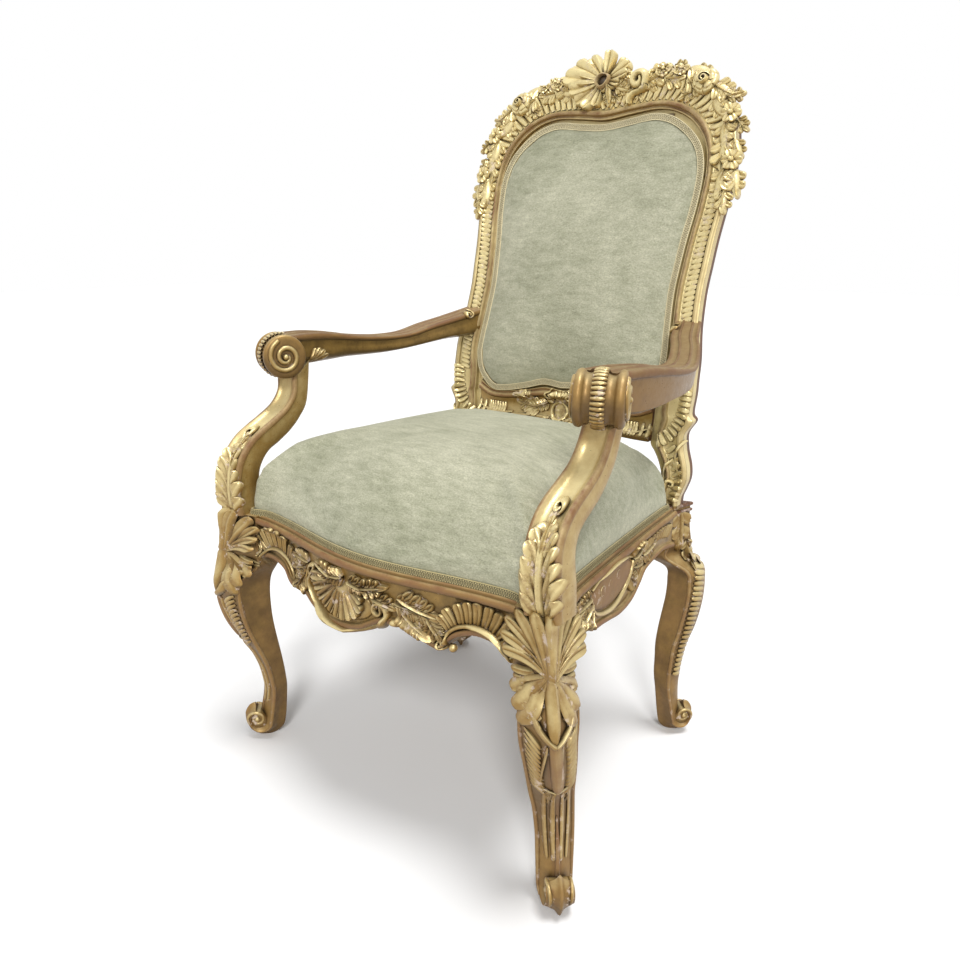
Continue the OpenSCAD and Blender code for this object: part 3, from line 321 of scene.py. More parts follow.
def bent(verts, length, bend):
    """Curve flat work that runs along X"""
    if abs(bend) > 0.01:
        for vert in verts:
            turn = bend * vert.co.x / length
            reach, side = length / bend, vert.co.y
            vert.co.x = (reach - side) * sin(turn)
            vert.co.y = reach * (1 - cos(turn)) + side * cos(turn)
    return verts


def hoop(bm, rings, rise=None):
    """Tube that closes on itself, from its last ring to its first"""
    made = tube(bm, rings + [rings[0]], capped=False, rise=rise)
    bmesh.ops.remove_doubles(bm, verts=made, dist=0.000001)
    return [vert for vert in made if vert.is_valid]


def moved(verts, at=(0, 0), turn=0.0):
    spin = Matrix.Rotation(turn, 3, "Z")
    for vert in verts:
        vert.co = spin @ vert.co + Vector((at[0], at[1], 0.0))
    return verts


def finger(bm, length, width, height, at=(0, 0), turn=0.0, bend=0.0, root=0.4, peak=0.6, groove=0.0,
           curl=0.0, rows=8, cols=4):
    """Rounded lobe of carving, the unit of leaves, ribs, petals and flutes"""
    rise_layer = bm.verts.layers.float["rise"]
    cells = grid(bm, rows, cols)
    rim = []
    for (i, j), vert in cells.items():
        s, t = 1 - (1 - i / rows) ** 1.6, 2 * j / cols - 1
        t = sin(t * pi / 2)
        swell = root + (1 - root) * sin(pi / 2 * min(1, s / peak))
        swell *= sqrt(max(0.0, 1 - max(0.0, (s - peak) / (1 - peak)) ** 2)) * 0.97 + 0.03
        crown = sqrt(max(0.0, 1 - t * t)) * (1 - groove * exp(-(t / 0.45) ** 2))
        high = crown * (0.35 + 0.65 * swell) * (1 if i < rows else 0.3)
        edge = i in (0, rows) or j in (0, cols)
        vert.co = Vector((length * s, width / 2 * swell * t,
                          height * (high + curl * s ** 3) - height * 0.3 * edge))
        vert[rise_layer] = max(0.0, high)
        if edge:
            rim.append(vert)
    fill_loop(bm, rim)
    return moved(bent(list(cells.values()), length, bend), at, turn)


def bead(bm, radius, height, at=(0, 0)):
    made = bmesh.ops.create_uvsphere(bm, u_segments=12, v_segments=8, radius=1.0)["verts"]
    rise_layer = bm.verts.layers.float["rise"]
    for vert in made:
        vert[rise_layer] = max(0.0, vert.co.z)
        vert.co = Vector((vert.co.x * radius, vert.co.y * radius, vert.co.z * height))
    return moved(made, at)


def bar(bm, points, width, height, ends=(0.6, 0.6), parts=6, sides=10):
    """Rounded bar of carving along a flat smooth line"""
    line = smooth_line(points, parts)
    rise_layer = bm.verts.layers.float["rise"]
    rings = []
    for i, point in enumerate(line):
        ahead = (line[min(i + 1, len(line) - 1)] - line[max(i - 1, 0)]).normalized()
        across = Vector((-ahead.y, ahead.x, 0.0))
        s = i / (len(line) - 1)
        full = sin(pi * s) ** 0.5 if 0 < s < 1 else 0.0
        half = width / 2 * ((ends[0] * (1 - s) + ends[1] * s) * (1 - full) + full)
        tall = height * (0.7 + 0.3 * full)
        rings.append([
            point + across * half * cos(2 * pi * k / sides)
            + Vector((0, 0, tall * sin(2 * pi * k / sides)))
            for k in range(sides)
        ])
    made = tube(bm, rings)
    for vert in made:
        vert[rise_layer] = max(0.0, vert.co.z / height)
    return made


def volute(centre, outer, inner, start, turns, steps=10):
    """Points of a spiral, turning by whole turns to the left where they are positive"""
    count = max(4, int(abs(turns) * steps))
    points = []
    for k in range(count + 1):
        reach = outer + (inner - outer) * (k / count) ** 0.8
        angle = start + 2 * pi * turns * k / count
        points.append(Vector((centre[0] + reach * cos(angle), centre[1] + reach * sin(angle), 0.0)))
    return points


def acanthus(bm, length, width, height, lobes=3, bend=0.0, at=(0, 0), turn=0.0, curl=0.0):
    """Carved leaf: a blade, a middle rib, pairs of broad turned lobes and a tip"""
    made = finger(bm, length * 0.96, width * 0.6, height * 0.55, root=0.6, peak=0.4, curl=curl, rows=10)
    made += finger(bm, length, width * 0.13, height * 1.1, root=1.0, peak=0.4, curl=curl, rows=10)
    for k in range(lobes):
        s = (k + 0.1) / (lobes + 0.1)
        reach = width * (0.8 - 0.3 * s) * (0.85 if k == 0 else 1)
        for side in (1, -1):
            made += finger(bm, reach, max(reach * 0.58, length / lobes * 0.66), height * (0.92 - 0.1 * s),
                           at=(length * s * 0.7, side * width * 0.03), turn=side * (0.62 - 0.2 * s),
                           bend=side * 0.7, root=0.55, peak=0.66, groove=0.62, curl=0.25, rows=8, cols=6)
    made += finger(bm, length * 0.4, width * 0.4, height, at=(length * 0.64, 0), root=0.6, peak=0.4,
                   groove=0.4, curl=curl)
    return moved(bent(made, length, bend), at, turn)


def fan(bm, ribs, height, start=0.0, width=1.0, at=(0, 0)):
    """Shell of ribs, each given by its direction in degrees and its length"""
    made = []
    for k, (angle, reach) in enumerate(ribs):
        near = ribs[k - 1][0] if k else 2 * angle - ribs[1][0]
        step = abs(angle - near) if k else abs(ribs[1][0] - angle)
        turn = radians(angle)
        made += finger(
            bm, reach - start, 2 * reach * sin(radians(step) / 2) * width, height,
            at=(start * cos(turn), start * sin(turn)), turn=turn, root=0.25 + 0.4 * start / reach,
            peak=0.86, groove=0.82, curl=0.5, rows=12, cols=8)
    return moved(made, at)


def flower(bm, radius, height, petals=6, rings=1, at=(0, 0)):
    made = []
    for ring, (reach, tall) in enumerate(((1.0, 0.8), (0.66, 1.2))[:rings]):
        for k in range(petals):
            angle = 2 * pi * (k + 0.5 * ring) / petals
            made += finger(bm, radius * reach * 0.9, radius * reach * 5.2 / petals, height * tall,
                           at=(radius * 0.1 * cos(angle), radius * 0.1 * sin(angle)), turn=angle,
                           root=0.4, peak=0.62, groove=0.7, curl=0.3, rows=7, cols=6)
    made += bead(bm, radius * 0.26, height * 1.3)
    return moved(made, at)


def rose(bm, radius, height, at=(0, 0)):
    made = []
    for ring, (reach, count, tall) in enumerate(((1.0, 6, 0.7), (0.78, 5, 1.0))):
        for k in range(count):
            angle = 2 * pi * (k + 0.3 * ring) / count
            made += finger(bm, radius * reach * 0.8, radius * reach * 1.05, height * tall,
                           at=(radius * 0.2 * cos(angle), radius * 0.2 * sin(angle)), turn=angle,
                           root=0.6, peak=0.7, groove=0.2, rows=6)
    made += bar(bm, volute((0, 0), radius * 0.5, radius * 0.08, 0.4, 1.8), radius * 0.24, height * 1.35)
    return moved(made, at)


class Bed:
    """Wood that carving is laid on: a plane over it, and the surface that is found behind the plane"""

    def __init__(self, bm, origin, across, up=(0, 0, 1), base=0.0, stretch=1.0, steep=1.0):
        self.tree = BVHTree.FromBMesh(bm)
        self.origin = Vector(origin) * MM
        self.across, self.up = Vector(across).normalized(), Vector(up).normalized()
        self.out = self.across.cross(self.up)
        self.base, self.stretch, self.steep = base, stretch, steep

    def lay(self, verts, x=0, y=0, turn=0.0, lift=0.0):
        """Drape carving on the wood; past the edge of the wood it runs on from its own last points"""
        spin = Matrix.Rotation(turn, 3, "Z")
        home = self.origin + self.across * x * MM + self.up * (y - self.base) * self.stretch * MM
        points, depths, spans, seen = {}, {}, [], set()
        for vert in verts:
            local = spin @ (vert.co * MM)
            point = home + self.across * local.x + self.up * local.y
            found = self.tree.ray_cast(point + self.out * 0.09, -self.out, 0.25)[0]
            points[vert] = (point, local.z)
            depths[vert] = (found - point).dot(self.out) if found else -1.0
        for vert in verts:
            for edge in vert.link_edges:
                if edge not in seen:
                    seen.add(edge)
                    far = edge.other_vert(vert)
                    spans.append((vert, far, (points[vert][0] - points[far][0]).length * self.steep))
        for _ in range(14):
            for near, far, reach in spans:
                depths[near] = max(depths[near], depths[far] - reach)
                depths[far] = max(depths[far], depths[near] - reach)
        met = [depth for depth in depths.values() if depth > -0.5]
        met = met or [(self.tree.find_nearest(home)[0] - home).dot(self.out)]
        for vert, (point, high) in points.items():
            depth = depths[vert] if depths[vert] > -0.5 else min(met)
            vert.co = point + self.out * (depth + high + lift * MM)


def gadroons(bm, bed, line, count, length, width, height, lean=0.0, side=1, grow=None, lift=0.0, groove=0.0,
             peak=0.6):
    """Row of flutes that stand across a flat line"""
    for point, ahead, s in even_points(smooth_line(line, 8), count):
        reach = length * (grow(s) if grow else 1)
        turn = atan2(ahead.y, ahead.x) + side * (pi / 2 - lean)
        made = finger(bm, reach, width, height, turn=turn, bend=side * 0.3 if lean else 0.0, root=0.6,
                      peak=peak, groove=groove, curl=0.3 if groove else 0.0, rows=8,
                      cols=6 if groove else 4)
        bed.lay(made, point.x, point.y, lift=lift)


def keep(bm, name, finishes, nodes, side=1):
    """Finished piece of a mesh, on the right or mirrored to the left"""
    if side < 0:
        bmesh.ops.scale(bm, vec=(-1, 1, 1), verts=bm.verts)
    bmesh.ops.recalc_face_normals(bm, faces=bm.faces)
    mesh = bpy.data.meshes.new(name)
    bm.to_mesh(mesh)
    bm.free()
    mesh.polygons.foreach_set("use_smooth", [True] * len(mesh.polygons))
    mesh.set_sharp_from_angle(angle=radians(50))
    piece = bpy.data.objects.new(name, mesh)
    bpy.context.scene.collection.objects.link(piece)
    for finish in finishes:
        mesh.materials.append(finish_for(finish))
    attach(piece, "root")
    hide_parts(*nodes)


def keep_pair(bm, name, finishes, node_name):
    for side, hand in ((1, "right"), (-1, "left")):
        keep(bm.copy(), f"{name}_{hand}", finishes, [f"{node_name}_{hand}"], side=side)
    bm.free()


# Finishes

def feed(tree, made, inputs):
    """Set the inputs of a node, or link them to another one's outputs"""
    for socket, source in inputs.items():
        if isinstance(source, bpy.types.NodeSocket):
            tree.links.new(source, made.inputs[socket])
        else:
            made.inputs[socket].default_value = source


def node(tree, kind, inputs=None, **values):
    made = tree.nodes.new(kind)
    for key, value in values.items():
        setattr(made, key, value)
    feed(tree, made, inputs or {})
    return made


def ramp(tree, source, *stops):
    made = node(tree, "ShaderNodeValToRGB", {0: source})
    band = made.color_ramp
    while len(band.elements) < len(stops):
        band.elements.new(0.5)
    for element, (place, value) in zip(band.elements, stops):
        element.position = place
        element.color = value if isinstance(value, tuple) else (value, value, value, 1.0)
    return made.outputs[0]


def blend_colour(tree, share, a, b, mode="MIX"):
    return node(tree, "ShaderNodeMix", {0: share, 6: a, 7: b}, data_type="RGBA", blend_type=mode).outputs[2]


def maths(tree, operation, a, b):
    return node(tree, "ShaderNodeMath", {0: a, 1: b}, operation=operation).outputs[0]


def times(tree, a, b):
    return maths(tree, "MULTIPLY", a, b)


def plus(tree, a, b):
    return maths(tree, "ADD", a, b)


def painted(tree, name):
    """Value that a mesh carries at its points"""
    return node(tree, "ShaderNodeAttribute", attribute_name=name).outputs["Fac"]


def openness(tree, distance, inside=False, samples=6):
    """Dark in the hollows, or on the edges where it looks inside"""
    return node(tree, "ShaderNodeAmbientOcclusion", {"Distance": distance}, samples=samples, inside=inside,
                only_local=True).outputs["AO"]


def bumps(tree, high, strength, distance):
    return node(tree, "ShaderNodeBump", {"Height": high, "Strength": strength,
                                         "Distance": distance}).outputs[0]


def toned(tone, share):
    return tuple(min(1.0, c * share) for c in tone[:3]) + (1.0,)


def noise(tree, where, scale, detail=4.0, rough=0.55, twist=0.0):
    return node(tree, "ShaderNodeTexNoise",
                {"Vector": where, "Scale": scale, "Detail": detail, "Roughness": rough, "Distortion": twist}
                ).outputs[0]


def start_finish(name):
    finish = bpy.data.materials.new(name)
    finish.use_nodes = True
    tree = finish.node_tree
    shader = tree.nodes["Principled BSDF"]
    where = tree.nodes.new("ShaderNodeTexCoord").outputs["Object"]
    return finish, tree, shader, where


def stretched(tree, where, scale, turn=(0, 0, 0)):
    return node(tree, "ShaderNodeMapping", {"Vector": where, "Scale": scale, "Rotation": turn}).outputs[0]


def gilded(name, wear, chips, brown=0.0, pale=0.0):
    """Aged leaf over red clay and white ground, with painted shade and some glaze in the hollows, painted
    shade on downward faces, and a painted highlight on upward faces and on the heights, which are partly
    rubbed
    """
    finish, tree, shader, where = start_finish(name)
    edge = openness(tree, 0.0035, True)
    cloudy = noise(tree, where, 38.0, 7.0, 0.7)
    fine = noise(tree, where, 170.0, 4.0, 0.65)
    # Upward faces are painted lighter and downward faces darker, as painted light and shade; the heights of
    # the carving add a painted highlight that is partly rubbed leaf, and the clouds are the leaf's own uneven
    # tone
    facing = node(tree, "ShaderNodeTexCoord").outputs["Normal"]
    slope = node(tree, "ShaderNodeSeparateXYZ", {0: facing}).outputs["Z"]
    lit = plus(tree, times(tree, slope, 0.5), times(tree, cloudy, 0.6))
    lit = plus(tree, plus(tree, lit, times(tree, painted(tree, "rise"), 0.42)), pale)
    gold = colour("gold")
    # The leaf runs from a darker painted-shade copy of the gold, through the gold, to the bright painted
    # highlight
    leaf = blend_colour(tree, ramp(tree, lit, (0.0, 0.0), (0.26, 1.0)), toned(gold, 0.42), gold)
    leaf = blend_colour(tree, ramp(tree, lit, (0.34, 0.0), (0.98, 1.0)), leaf, colour("bright"))
    patches = ramp(tree, noise(tree, where, 22.0, 6.0, 0.7), (0.36, 0.4), (0.62, 1.0))
    clay = times(tree, times(tree, painted(tree, "worn"), patches), min(1.0, wear * 2))
    tone = blend_colour(tree, clay, leaf, colour("bole"))
    # Painted shade with some real glaze in the hollows, thinner on the paler copies of the leaf
    less = max(0.0, pale) * 0.5
    clear_of_shade = ramp(tree, openness(tree, 0.012), (0.3 - less, 0.0), (0.95 - less, 1.0))
    tone = blend_colour(tree, clear_of_shade, colour("glaze_and_shade"), tone)
    if brown:
        tone = blend_colour(tree, brown, tone, colour("timber"))
    rubbed = times(tree, ramp(tree, edge, (0.35, 1.0), (0.62, 0.0)),
                   ramp(tree, fine, (0.42, 0.0), (0.6, 1.0)))
    tone = blend_colour(tree, times(tree, rubbed, 0.55 * wear), tone, colour("bole"))
    specks = ramp(tree, noise(tree, where, 75.0, 5.0, 0.7), (0.57, 0.0), (0.61, 1.0))
    chip = times(tree, ramp(tree, edge, (0.42, 1.0), (0.6, 0.0)), specks)
    tone = blend_colour(tree, times(tree, chip, chips), tone, colour("gesso"))
    bare = maths(tree, "MAXIMUM", chip, clay)
    high = maths(tree, "SUBTRACT", plus(tree, times(tree, fine, 0.5), times(tree, cloudy, 0.8)), chip)
    feed(tree, shader, {
        "Base Color": tone, "Metallic": ramp(tree, bare, (0.1, 0.5), (0.8, 0.05)),
        "Roughness": ramp(tree, plus(tree, fine, bare), (0.3, 0.26), (1.2, 0.58)),
        "Normal": bumps(tree, high, 0.35, 0.0012)})
    return finish


def stained(name, tone_name="timber", grain=(0, 0, 0), shine=0.42):
    """Close-grained timber under old stain"""
    finish, tree, shader, where = start_finish(name)
    lines = noise(tree, stretched(tree, where, (220.0, 220.0, 14.0), grain), 1.0, 6.0, 0.6, 0.4)
    clouds = noise(tree, where, 11.0, 3.0)
    plain = colour(tone_name)
    tone = blend_colour(tree, ramp(tree, lines, (0.35, 0.0), (0.68, 1.0)), toned(plain, 0.5),
                        toned(plain, 1.6))
    tone = blend_colour(tree, ramp(tree, clouds, (0.35, 0.0), (0.7, 0.6)), tone, plain)
    rubbed = times(tree, ramp(tree, openness(tree, 0.003, True), (0.4, 1.0), (0.6, 0.0)),
                   ramp(tree, noise(tree, where, 90.0), (0.45, 0.0), (0.6, 0.7)))
    feed(tree, shader, {
        "Base Color": blend_colour(tree, rubbed, tone, colour("gesso")),
        "Roughness": ramp(tree, lines, (0.3, shine), (0.7, shine + 0.2)),
        "Normal": bumps(tree, lines, 0.25, 0.0006)})
    return finish


def velvet_finish(name):
    """Short silk pile brushed into patches, painted paler as sheen and darker as shade"""
    finish, tree, shader, where = start_finish(name)
    patches = noise(tree, where, 6.0, 7.0, 0.66, 0.4)
    strokes = noise(tree, stretched(tree, where, (30.0, 110.0, 110.0)), 1.0, 6.0, 0.7, 0.2)
    weave = noise(tree, stretched(tree, where, (260.0, 700.0, 700.0)), 1.0, 3.0, 0.6)
    pile = noise(tree, where, 520.0, 3.0, 0.7)
    mottle = plus(tree, times(tree, patches, 0.55), times(tree, strokes, 0.45))
    # The patches mix the pile in painted shade with the pile in painted sheen
    tone = blend_colour(tree, ramp(tree, mottle, (0.37, 0.0), (0.64, 1.0)), colour("velvet"), colour("pile"))
    speck = plus(tree, times(tree, weave, 0.5), times(tree, pile, 0.5))
    high = plus(tree, times(tree, speck, 0.5), times(tree, strokes, 0.7))
    feed(tree, shader, {"Base Color": blend_colour(tree, 0.55, tone,
                                                   ramp(tree, speck, (0.36, 0.3), (0.64, 0.78)), "OVERLAY"),
                        "Roughness": 0.9, "Specular IOR Level": 0.15, "Sheen Weight": 0.45,
                        "Sheen Roughness": 0.45, "Sheen Tint": (0.86, 0.88, 0.76, 1.0),
                        "Normal": bumps(tree, high, 0.5, 0.0012)})
    return finish


def thread_finish(name, tone_name="braid", dark=0.5):
    """Silk thread, paler on the crowns, with painted shade between the turns and on the low band under the
    cords
    """
    finish, tree, shader, where = start_finish(name)
    twist = noise(tree, where, 900.0, 2.0)
    fade = noise(tree, where, 30.0, 3.0)
    plain = colour(tone_name)
    # The deep tone is the painted shade of the thread, also used for the specks of its twist
    deep = toned(plain, dark)
    tone = blend_colour(tree, ramp(tree, fade, (0.35, 0.0), (0.65, 1.0)), plain, toned(plain, 1.18))
    # Painted shade between the turns, and on the low band that carries the cords, which has little rise
    clear_of_shade = ramp(tree, openness(tree, 0.004, samples=4), (0.4, 0.0), (0.9, 1.0))
    tone = blend_colour(tree, clear_of_shade, deep, tone)
    tone = blend_colour(tree, ramp(tree, painted(tree, "rise"), (0.0, 0.6), (0.6, 0.0)), tone, deep)
    tone = blend_colour(tree, ramp(tree, twist, (0.4, 0.0), (0.62, 0.35)), tone, deep)
    feed(tree, shader, {"Base Color": tone, "Roughness": 0.7, "Sheen Weight": 0.3,
                        "Normal": bumps(tree, twist, 0.5, 0.0005)})
    return finish


def cloth_finish(name, tone, scale=380.0):
    """Plain woven lining or webbing"""
    finish, tree, shader, where = start_finish(name)
    warp, weft = [
        node(tree, "ShaderNodeTexWave", {"Vector": where, "Scale": scale, "Distortion": 1.5},
             bands_direction=way).outputs[1]
        for way in "XY"
    ]
    weave = times(tree, warp, weft)
    deep = toned(tone, 0.55)
    mixed = blend_colour(tree, ramp(tree, weave, (0.1, 0.0), (0.8, 1.0)), deep, tone)
    mixed = blend_colour(tree, ramp(tree, noise(tree, where, 14.0), (0.4, 0.0), (0.7, 0.4)), mixed, deep)
    feed(tree, shader, {"Base Color": mixed, "Roughness": 0.85, "Normal": bumps(tree, weave, 0.4, 0.0005)})
    return finish


def steel_finish(name):
    """Old steel, rusted in specks"""
    finish, tree, shader, where = start_finish(name)
    rust = noise(tree, where, 240.0, 5.0)
    specks = ramp(tree, rust, (0.45, 0.0), (0.65, 1.0))
    feed(tree, shader, {
        "Base Color": blend_colour(tree, specks, (0.32, 0.31, 0.3, 1.0), (0.16, 0.07, 0.035, 1.0)),
        "Metallic": 0.9, "Roughness": ramp(tree, rust, (0.4, 0.35), (0.7, 0.8))})
    return finish


FINISHES = {}


def finish_for(name):
    """Finish of a name, made once"""
    if name not in FINISHES:
        makers = {
            # The aged, pale and bright copies of the leaf differ in painted light as well as in wear: the
            # aged one is painted darker for the legs and rails in shade, the pale one lighter for the back
            # under the top light, and the bright one lighter, a painted highlight, on the supports and the
            # lower back rail
            "aged_gilding": lambda: gilded(name, wear=0.6, chips=0.6, pale=-0.17),
            "pale_gilding": lambda: gilded(name, wear=0.5, chips=0.5, pale=0.46),
            "bright_gilding": lambda: gilded(name, wear=0.9, chips=0.6, pale=0.13),
            "worn_gilding": lambda: gilded(name, wear=0.9, chips=0.8, brown=0.5),
            # The finish in the glaze colour below is painted shade, for the dark bead in the shell's eye
            "dark_hollow": lambda: stained(name, "glaze_and_shade"),
            "stained_timber": lambda: stained(name),
            "bare_beech": lambda: stained(name, "gesso", (0, pi / 2, 0), 0.6),
            "sage_velvet": lambda: velvet_finish(name),
            "silk_braid": lambda: thread_finish(name),
            "seat_braid": lambda: thread_finish(name, "cord", 0.32),
            "linen_web": lambda: cloth_finish(name, (0.42, 0.33, 0.2, 1.0)),
            "hessian": lambda: cloth_finish(name, (0.36, 0.26, 0.14, 1.0), 260.0),
            "old_steel": lambda: steel_finish(name),
        }
        FINISHES[name] = makers[name]()
    return FINISHES[name]


# Places on the frame, in millimetres

def mm(value):
    return value / MM


def back_face(z):
    lean = tan(sizes().recline)
    return SETBACK + (lean if z > BEND else lean / 3) * (z - BEND)


def leg_joint():
    return mm(sizes().seat_front) / 2 - LEG_BLOCK, mm(sizes().front_reach) - LEG_BLOCK


def post_joint():
    return mm(sizes().seat_back) / 2 - POST_BLOCK, mm(sizes().back_reach) - POST_BLOCK


def rail_inner():
    return leg_joint()[1] + LEG_BLOCK * 0.78 - RAIL


def front_face(x):
    return -(rail_inner() + RAIL + BOW * (1 + cos(pi * x / leg_joint()[0])) / 2)


def side_place(y):
    return (y + leg_joint()[1]) / (leg_joint()[1] + post_joint()[1])


def side_face(y):
    place = side_place(y)
    wide = mm(sizes().seat_front) / 2 * (1 - place) + mm(sizes().seat_back) / 2 * place
    return wide - HOLLOW * along(SIDE_RAIL, place, 1)


def side_inner(y):
    low, high = side_face(-leg_joint()[1]), side_face(post_joint()[1])
    return low - RAIL + (high - low) * side_place(y)


def leg_ring(foot_x, foot_y, side_y, row):
    ring = []
    for p in mirror_half(LEG_SECTION if side_y < 0 else BACK_LEG_SECTION):
        reach = KNEE_DEPTH * (row[2] + (row[1] - row[2]) * p[0])
        lean = KNEE_DEPTH * row[3] + KNEE_WIDTH / 2 * row[4] * p[1]
        ring.append(Vector((foot_x + (reach + lean) / sqrt(2), side_y * (foot_y + (reach - lean) / sqrt(2)),
                            mm(sizes().seat_height) * row[0])) * MM)
    return ring


def block_ring(joint, side, side_y, row):
    points = BLOCK_SECTION + [(p[1], p[0]) for p in reversed(BLOCK_SECTION[1:-1])]
    return [Vector((joint[0] + side * (row[3] + row[1] * p[0]),
                    side_y * (joint[1] + side * (row[3] + row[2] * p[1])),
                    mm(sizes().seat_height) * row[0])) * MM for p in points]


HEEL_SECTION = [(0, 0), (0.28, 0.3), (0.5, 0.9)] + LEG_SECTION[3:]
BACK_LEG_SECTION = [(0, 0), (0.18, 0.5), (0.34, 0.93), (0.4, 1), (0.56, 0.93), (0.76, 0.68), (0.92, 0.34),
                    (1, 0)]


def heel_ring(foot_x, foot_y, side_y, radius, row):
    centre = (radius * 0.1, radius * HEEL[3][1] - FOOT_FLAT)
    turn = radians(row[0])
    ring = []
    for p in mirror_half(HEEL_SECTION):
        out = radius * row[1] + (radius * 0.1 - radius * row[1]) * p[0]
        reach = centre[0] + out * sin(turn)
        across = KNEE_WIDTH / 2 * row[2] * p[1]
        ring.append(Vector((foot_x + (reach + across) / sqrt(2),
                            side_y * (foot_y + (reach - across) / sqrt(2)),
                            max(0.0, centre[1] - out * cos(turn)))) * MM)
    return ring


def frame_ring(inner, outer, depth=1.0):
    thick = mm(sizes().frame_depth)
    ring = []
    for p in FRAME_SECTION:
        z = inner[1] + (outer[1] - inner[1]) * p[0]
        ring.append(Vector((inner[0] + (outer[0] - inner[0]) * p[0],
                            back_face(z) + thick * p[1] * (depth if p[1] == 1 else 1), z)) * MM)
    return ring


def back_lean(z):
    """Lean of the back at a height, a third of it below the bend"""
    return sizes().recline if z > BEND else atan(tan(sizes().recline) / 3)


def back_bed(bm, z, steep=1.0):
    """Bed over the back, with the lean that it has at a height"""
    lean = back_lean(z)
    return Bed(bm, (0, SETBACK, BEND), (1, 0, 0), (0, sin(lean), cos(lean)), BEND, 1 / cos(lean), steep)


def foot_scroll(bm, foot_x, foot_y, side_y, radius):
    """Spirals on the two cheeks of a foot, and the round middle between them"""
    centre = Vector((radius * 0.1, 0, radius * HEEL[3][1] - FOOT_FLAT))
    out = Vector((1, side_y, 0)).normalized()
    across = Vector((1, -side_y, 0)).normalized()
    home = Vector((foot_x, side_y * foot_y, 0))
    for face in (1, -1):
        made = bar(bm, volute((radius * 0.02, radius * 0.06), radius * 0.4, radius * 0.1, radians(-100), 1.6,
                              12), radius * 0.15, radius * 0.06, (0.9, 0.5), 3)
        made += bead(bm, radius * 0.12, radius * 0.1, (radius * 0.02, radius * 0.06))
        for vert in made:
            local = vert.co.copy()
            level = FOOT_WIDTH * (0.37 + 0.08 * local.y / radius - 0.08 * abs(local.x) / radius)
            point = home + out * (centre.x + local.x) + Vector((0, 0, centre.z + local.y))
            vert.co = (point + across * face * (level + local.z)) * MM
    size = radius * 0.36 * MM
    made = bmesh.ops.create_cone(bm, segments=32, cap_ends=True, radius1=size, radius2=size,
                                 depth=FOOT_WIDTH * 0.8 * MM)["verts"]
    rims = [e for v in made for e in v.link_edges if any(len(face.verts) > 4 for face in e.link_faces)]
    rounded = bmesh.ops.bevel(bm, geom=list(dict.fromkeys(rims)), offset=0.004, segments=4,
                              affect="EDGES", profile=0.5, material=-1)["verts"]
    drum = set(rounded) | {v for v in made if v.is_valid}
    place = Matrix.Translation((home + out * centre.x + Vector((0, 0, centre.z))) * MM) @ Matrix.Rotation(
        atan2(across.y, across.x), 4, "Z") @ Matrix.Rotation(pi / 2, 4, "Y")
    bmesh.ops.transform(bm, matrix=place, verts=list(drum))


def leg_rope(bm, rings, index, radius, first, last, worn=0.7):
    """Bead along one arris of a leg, from ring to ring"""
    line = [ring[index] for ring in rings[first:last]]
    tubes = []
    for i, point in enumerate(line):
        ahead = (line[min(i + 1, len(line) - 1)] - line[max(i - 1, 0)]).normalized()
        middle = sum(rings[first + i], Vector()) / len(rings[first + i])
        out = (point - middle).normalized()
        taper = min(1.0, 0.35 + 3.0 * min(i, len(line) - 1 - i) / len(line))
        tubes.append(circle(point, ahead.cross(out).normalized(), out, radius * MM * taper))
    tube(bm, tubes, worn=worn, rise=0.6)


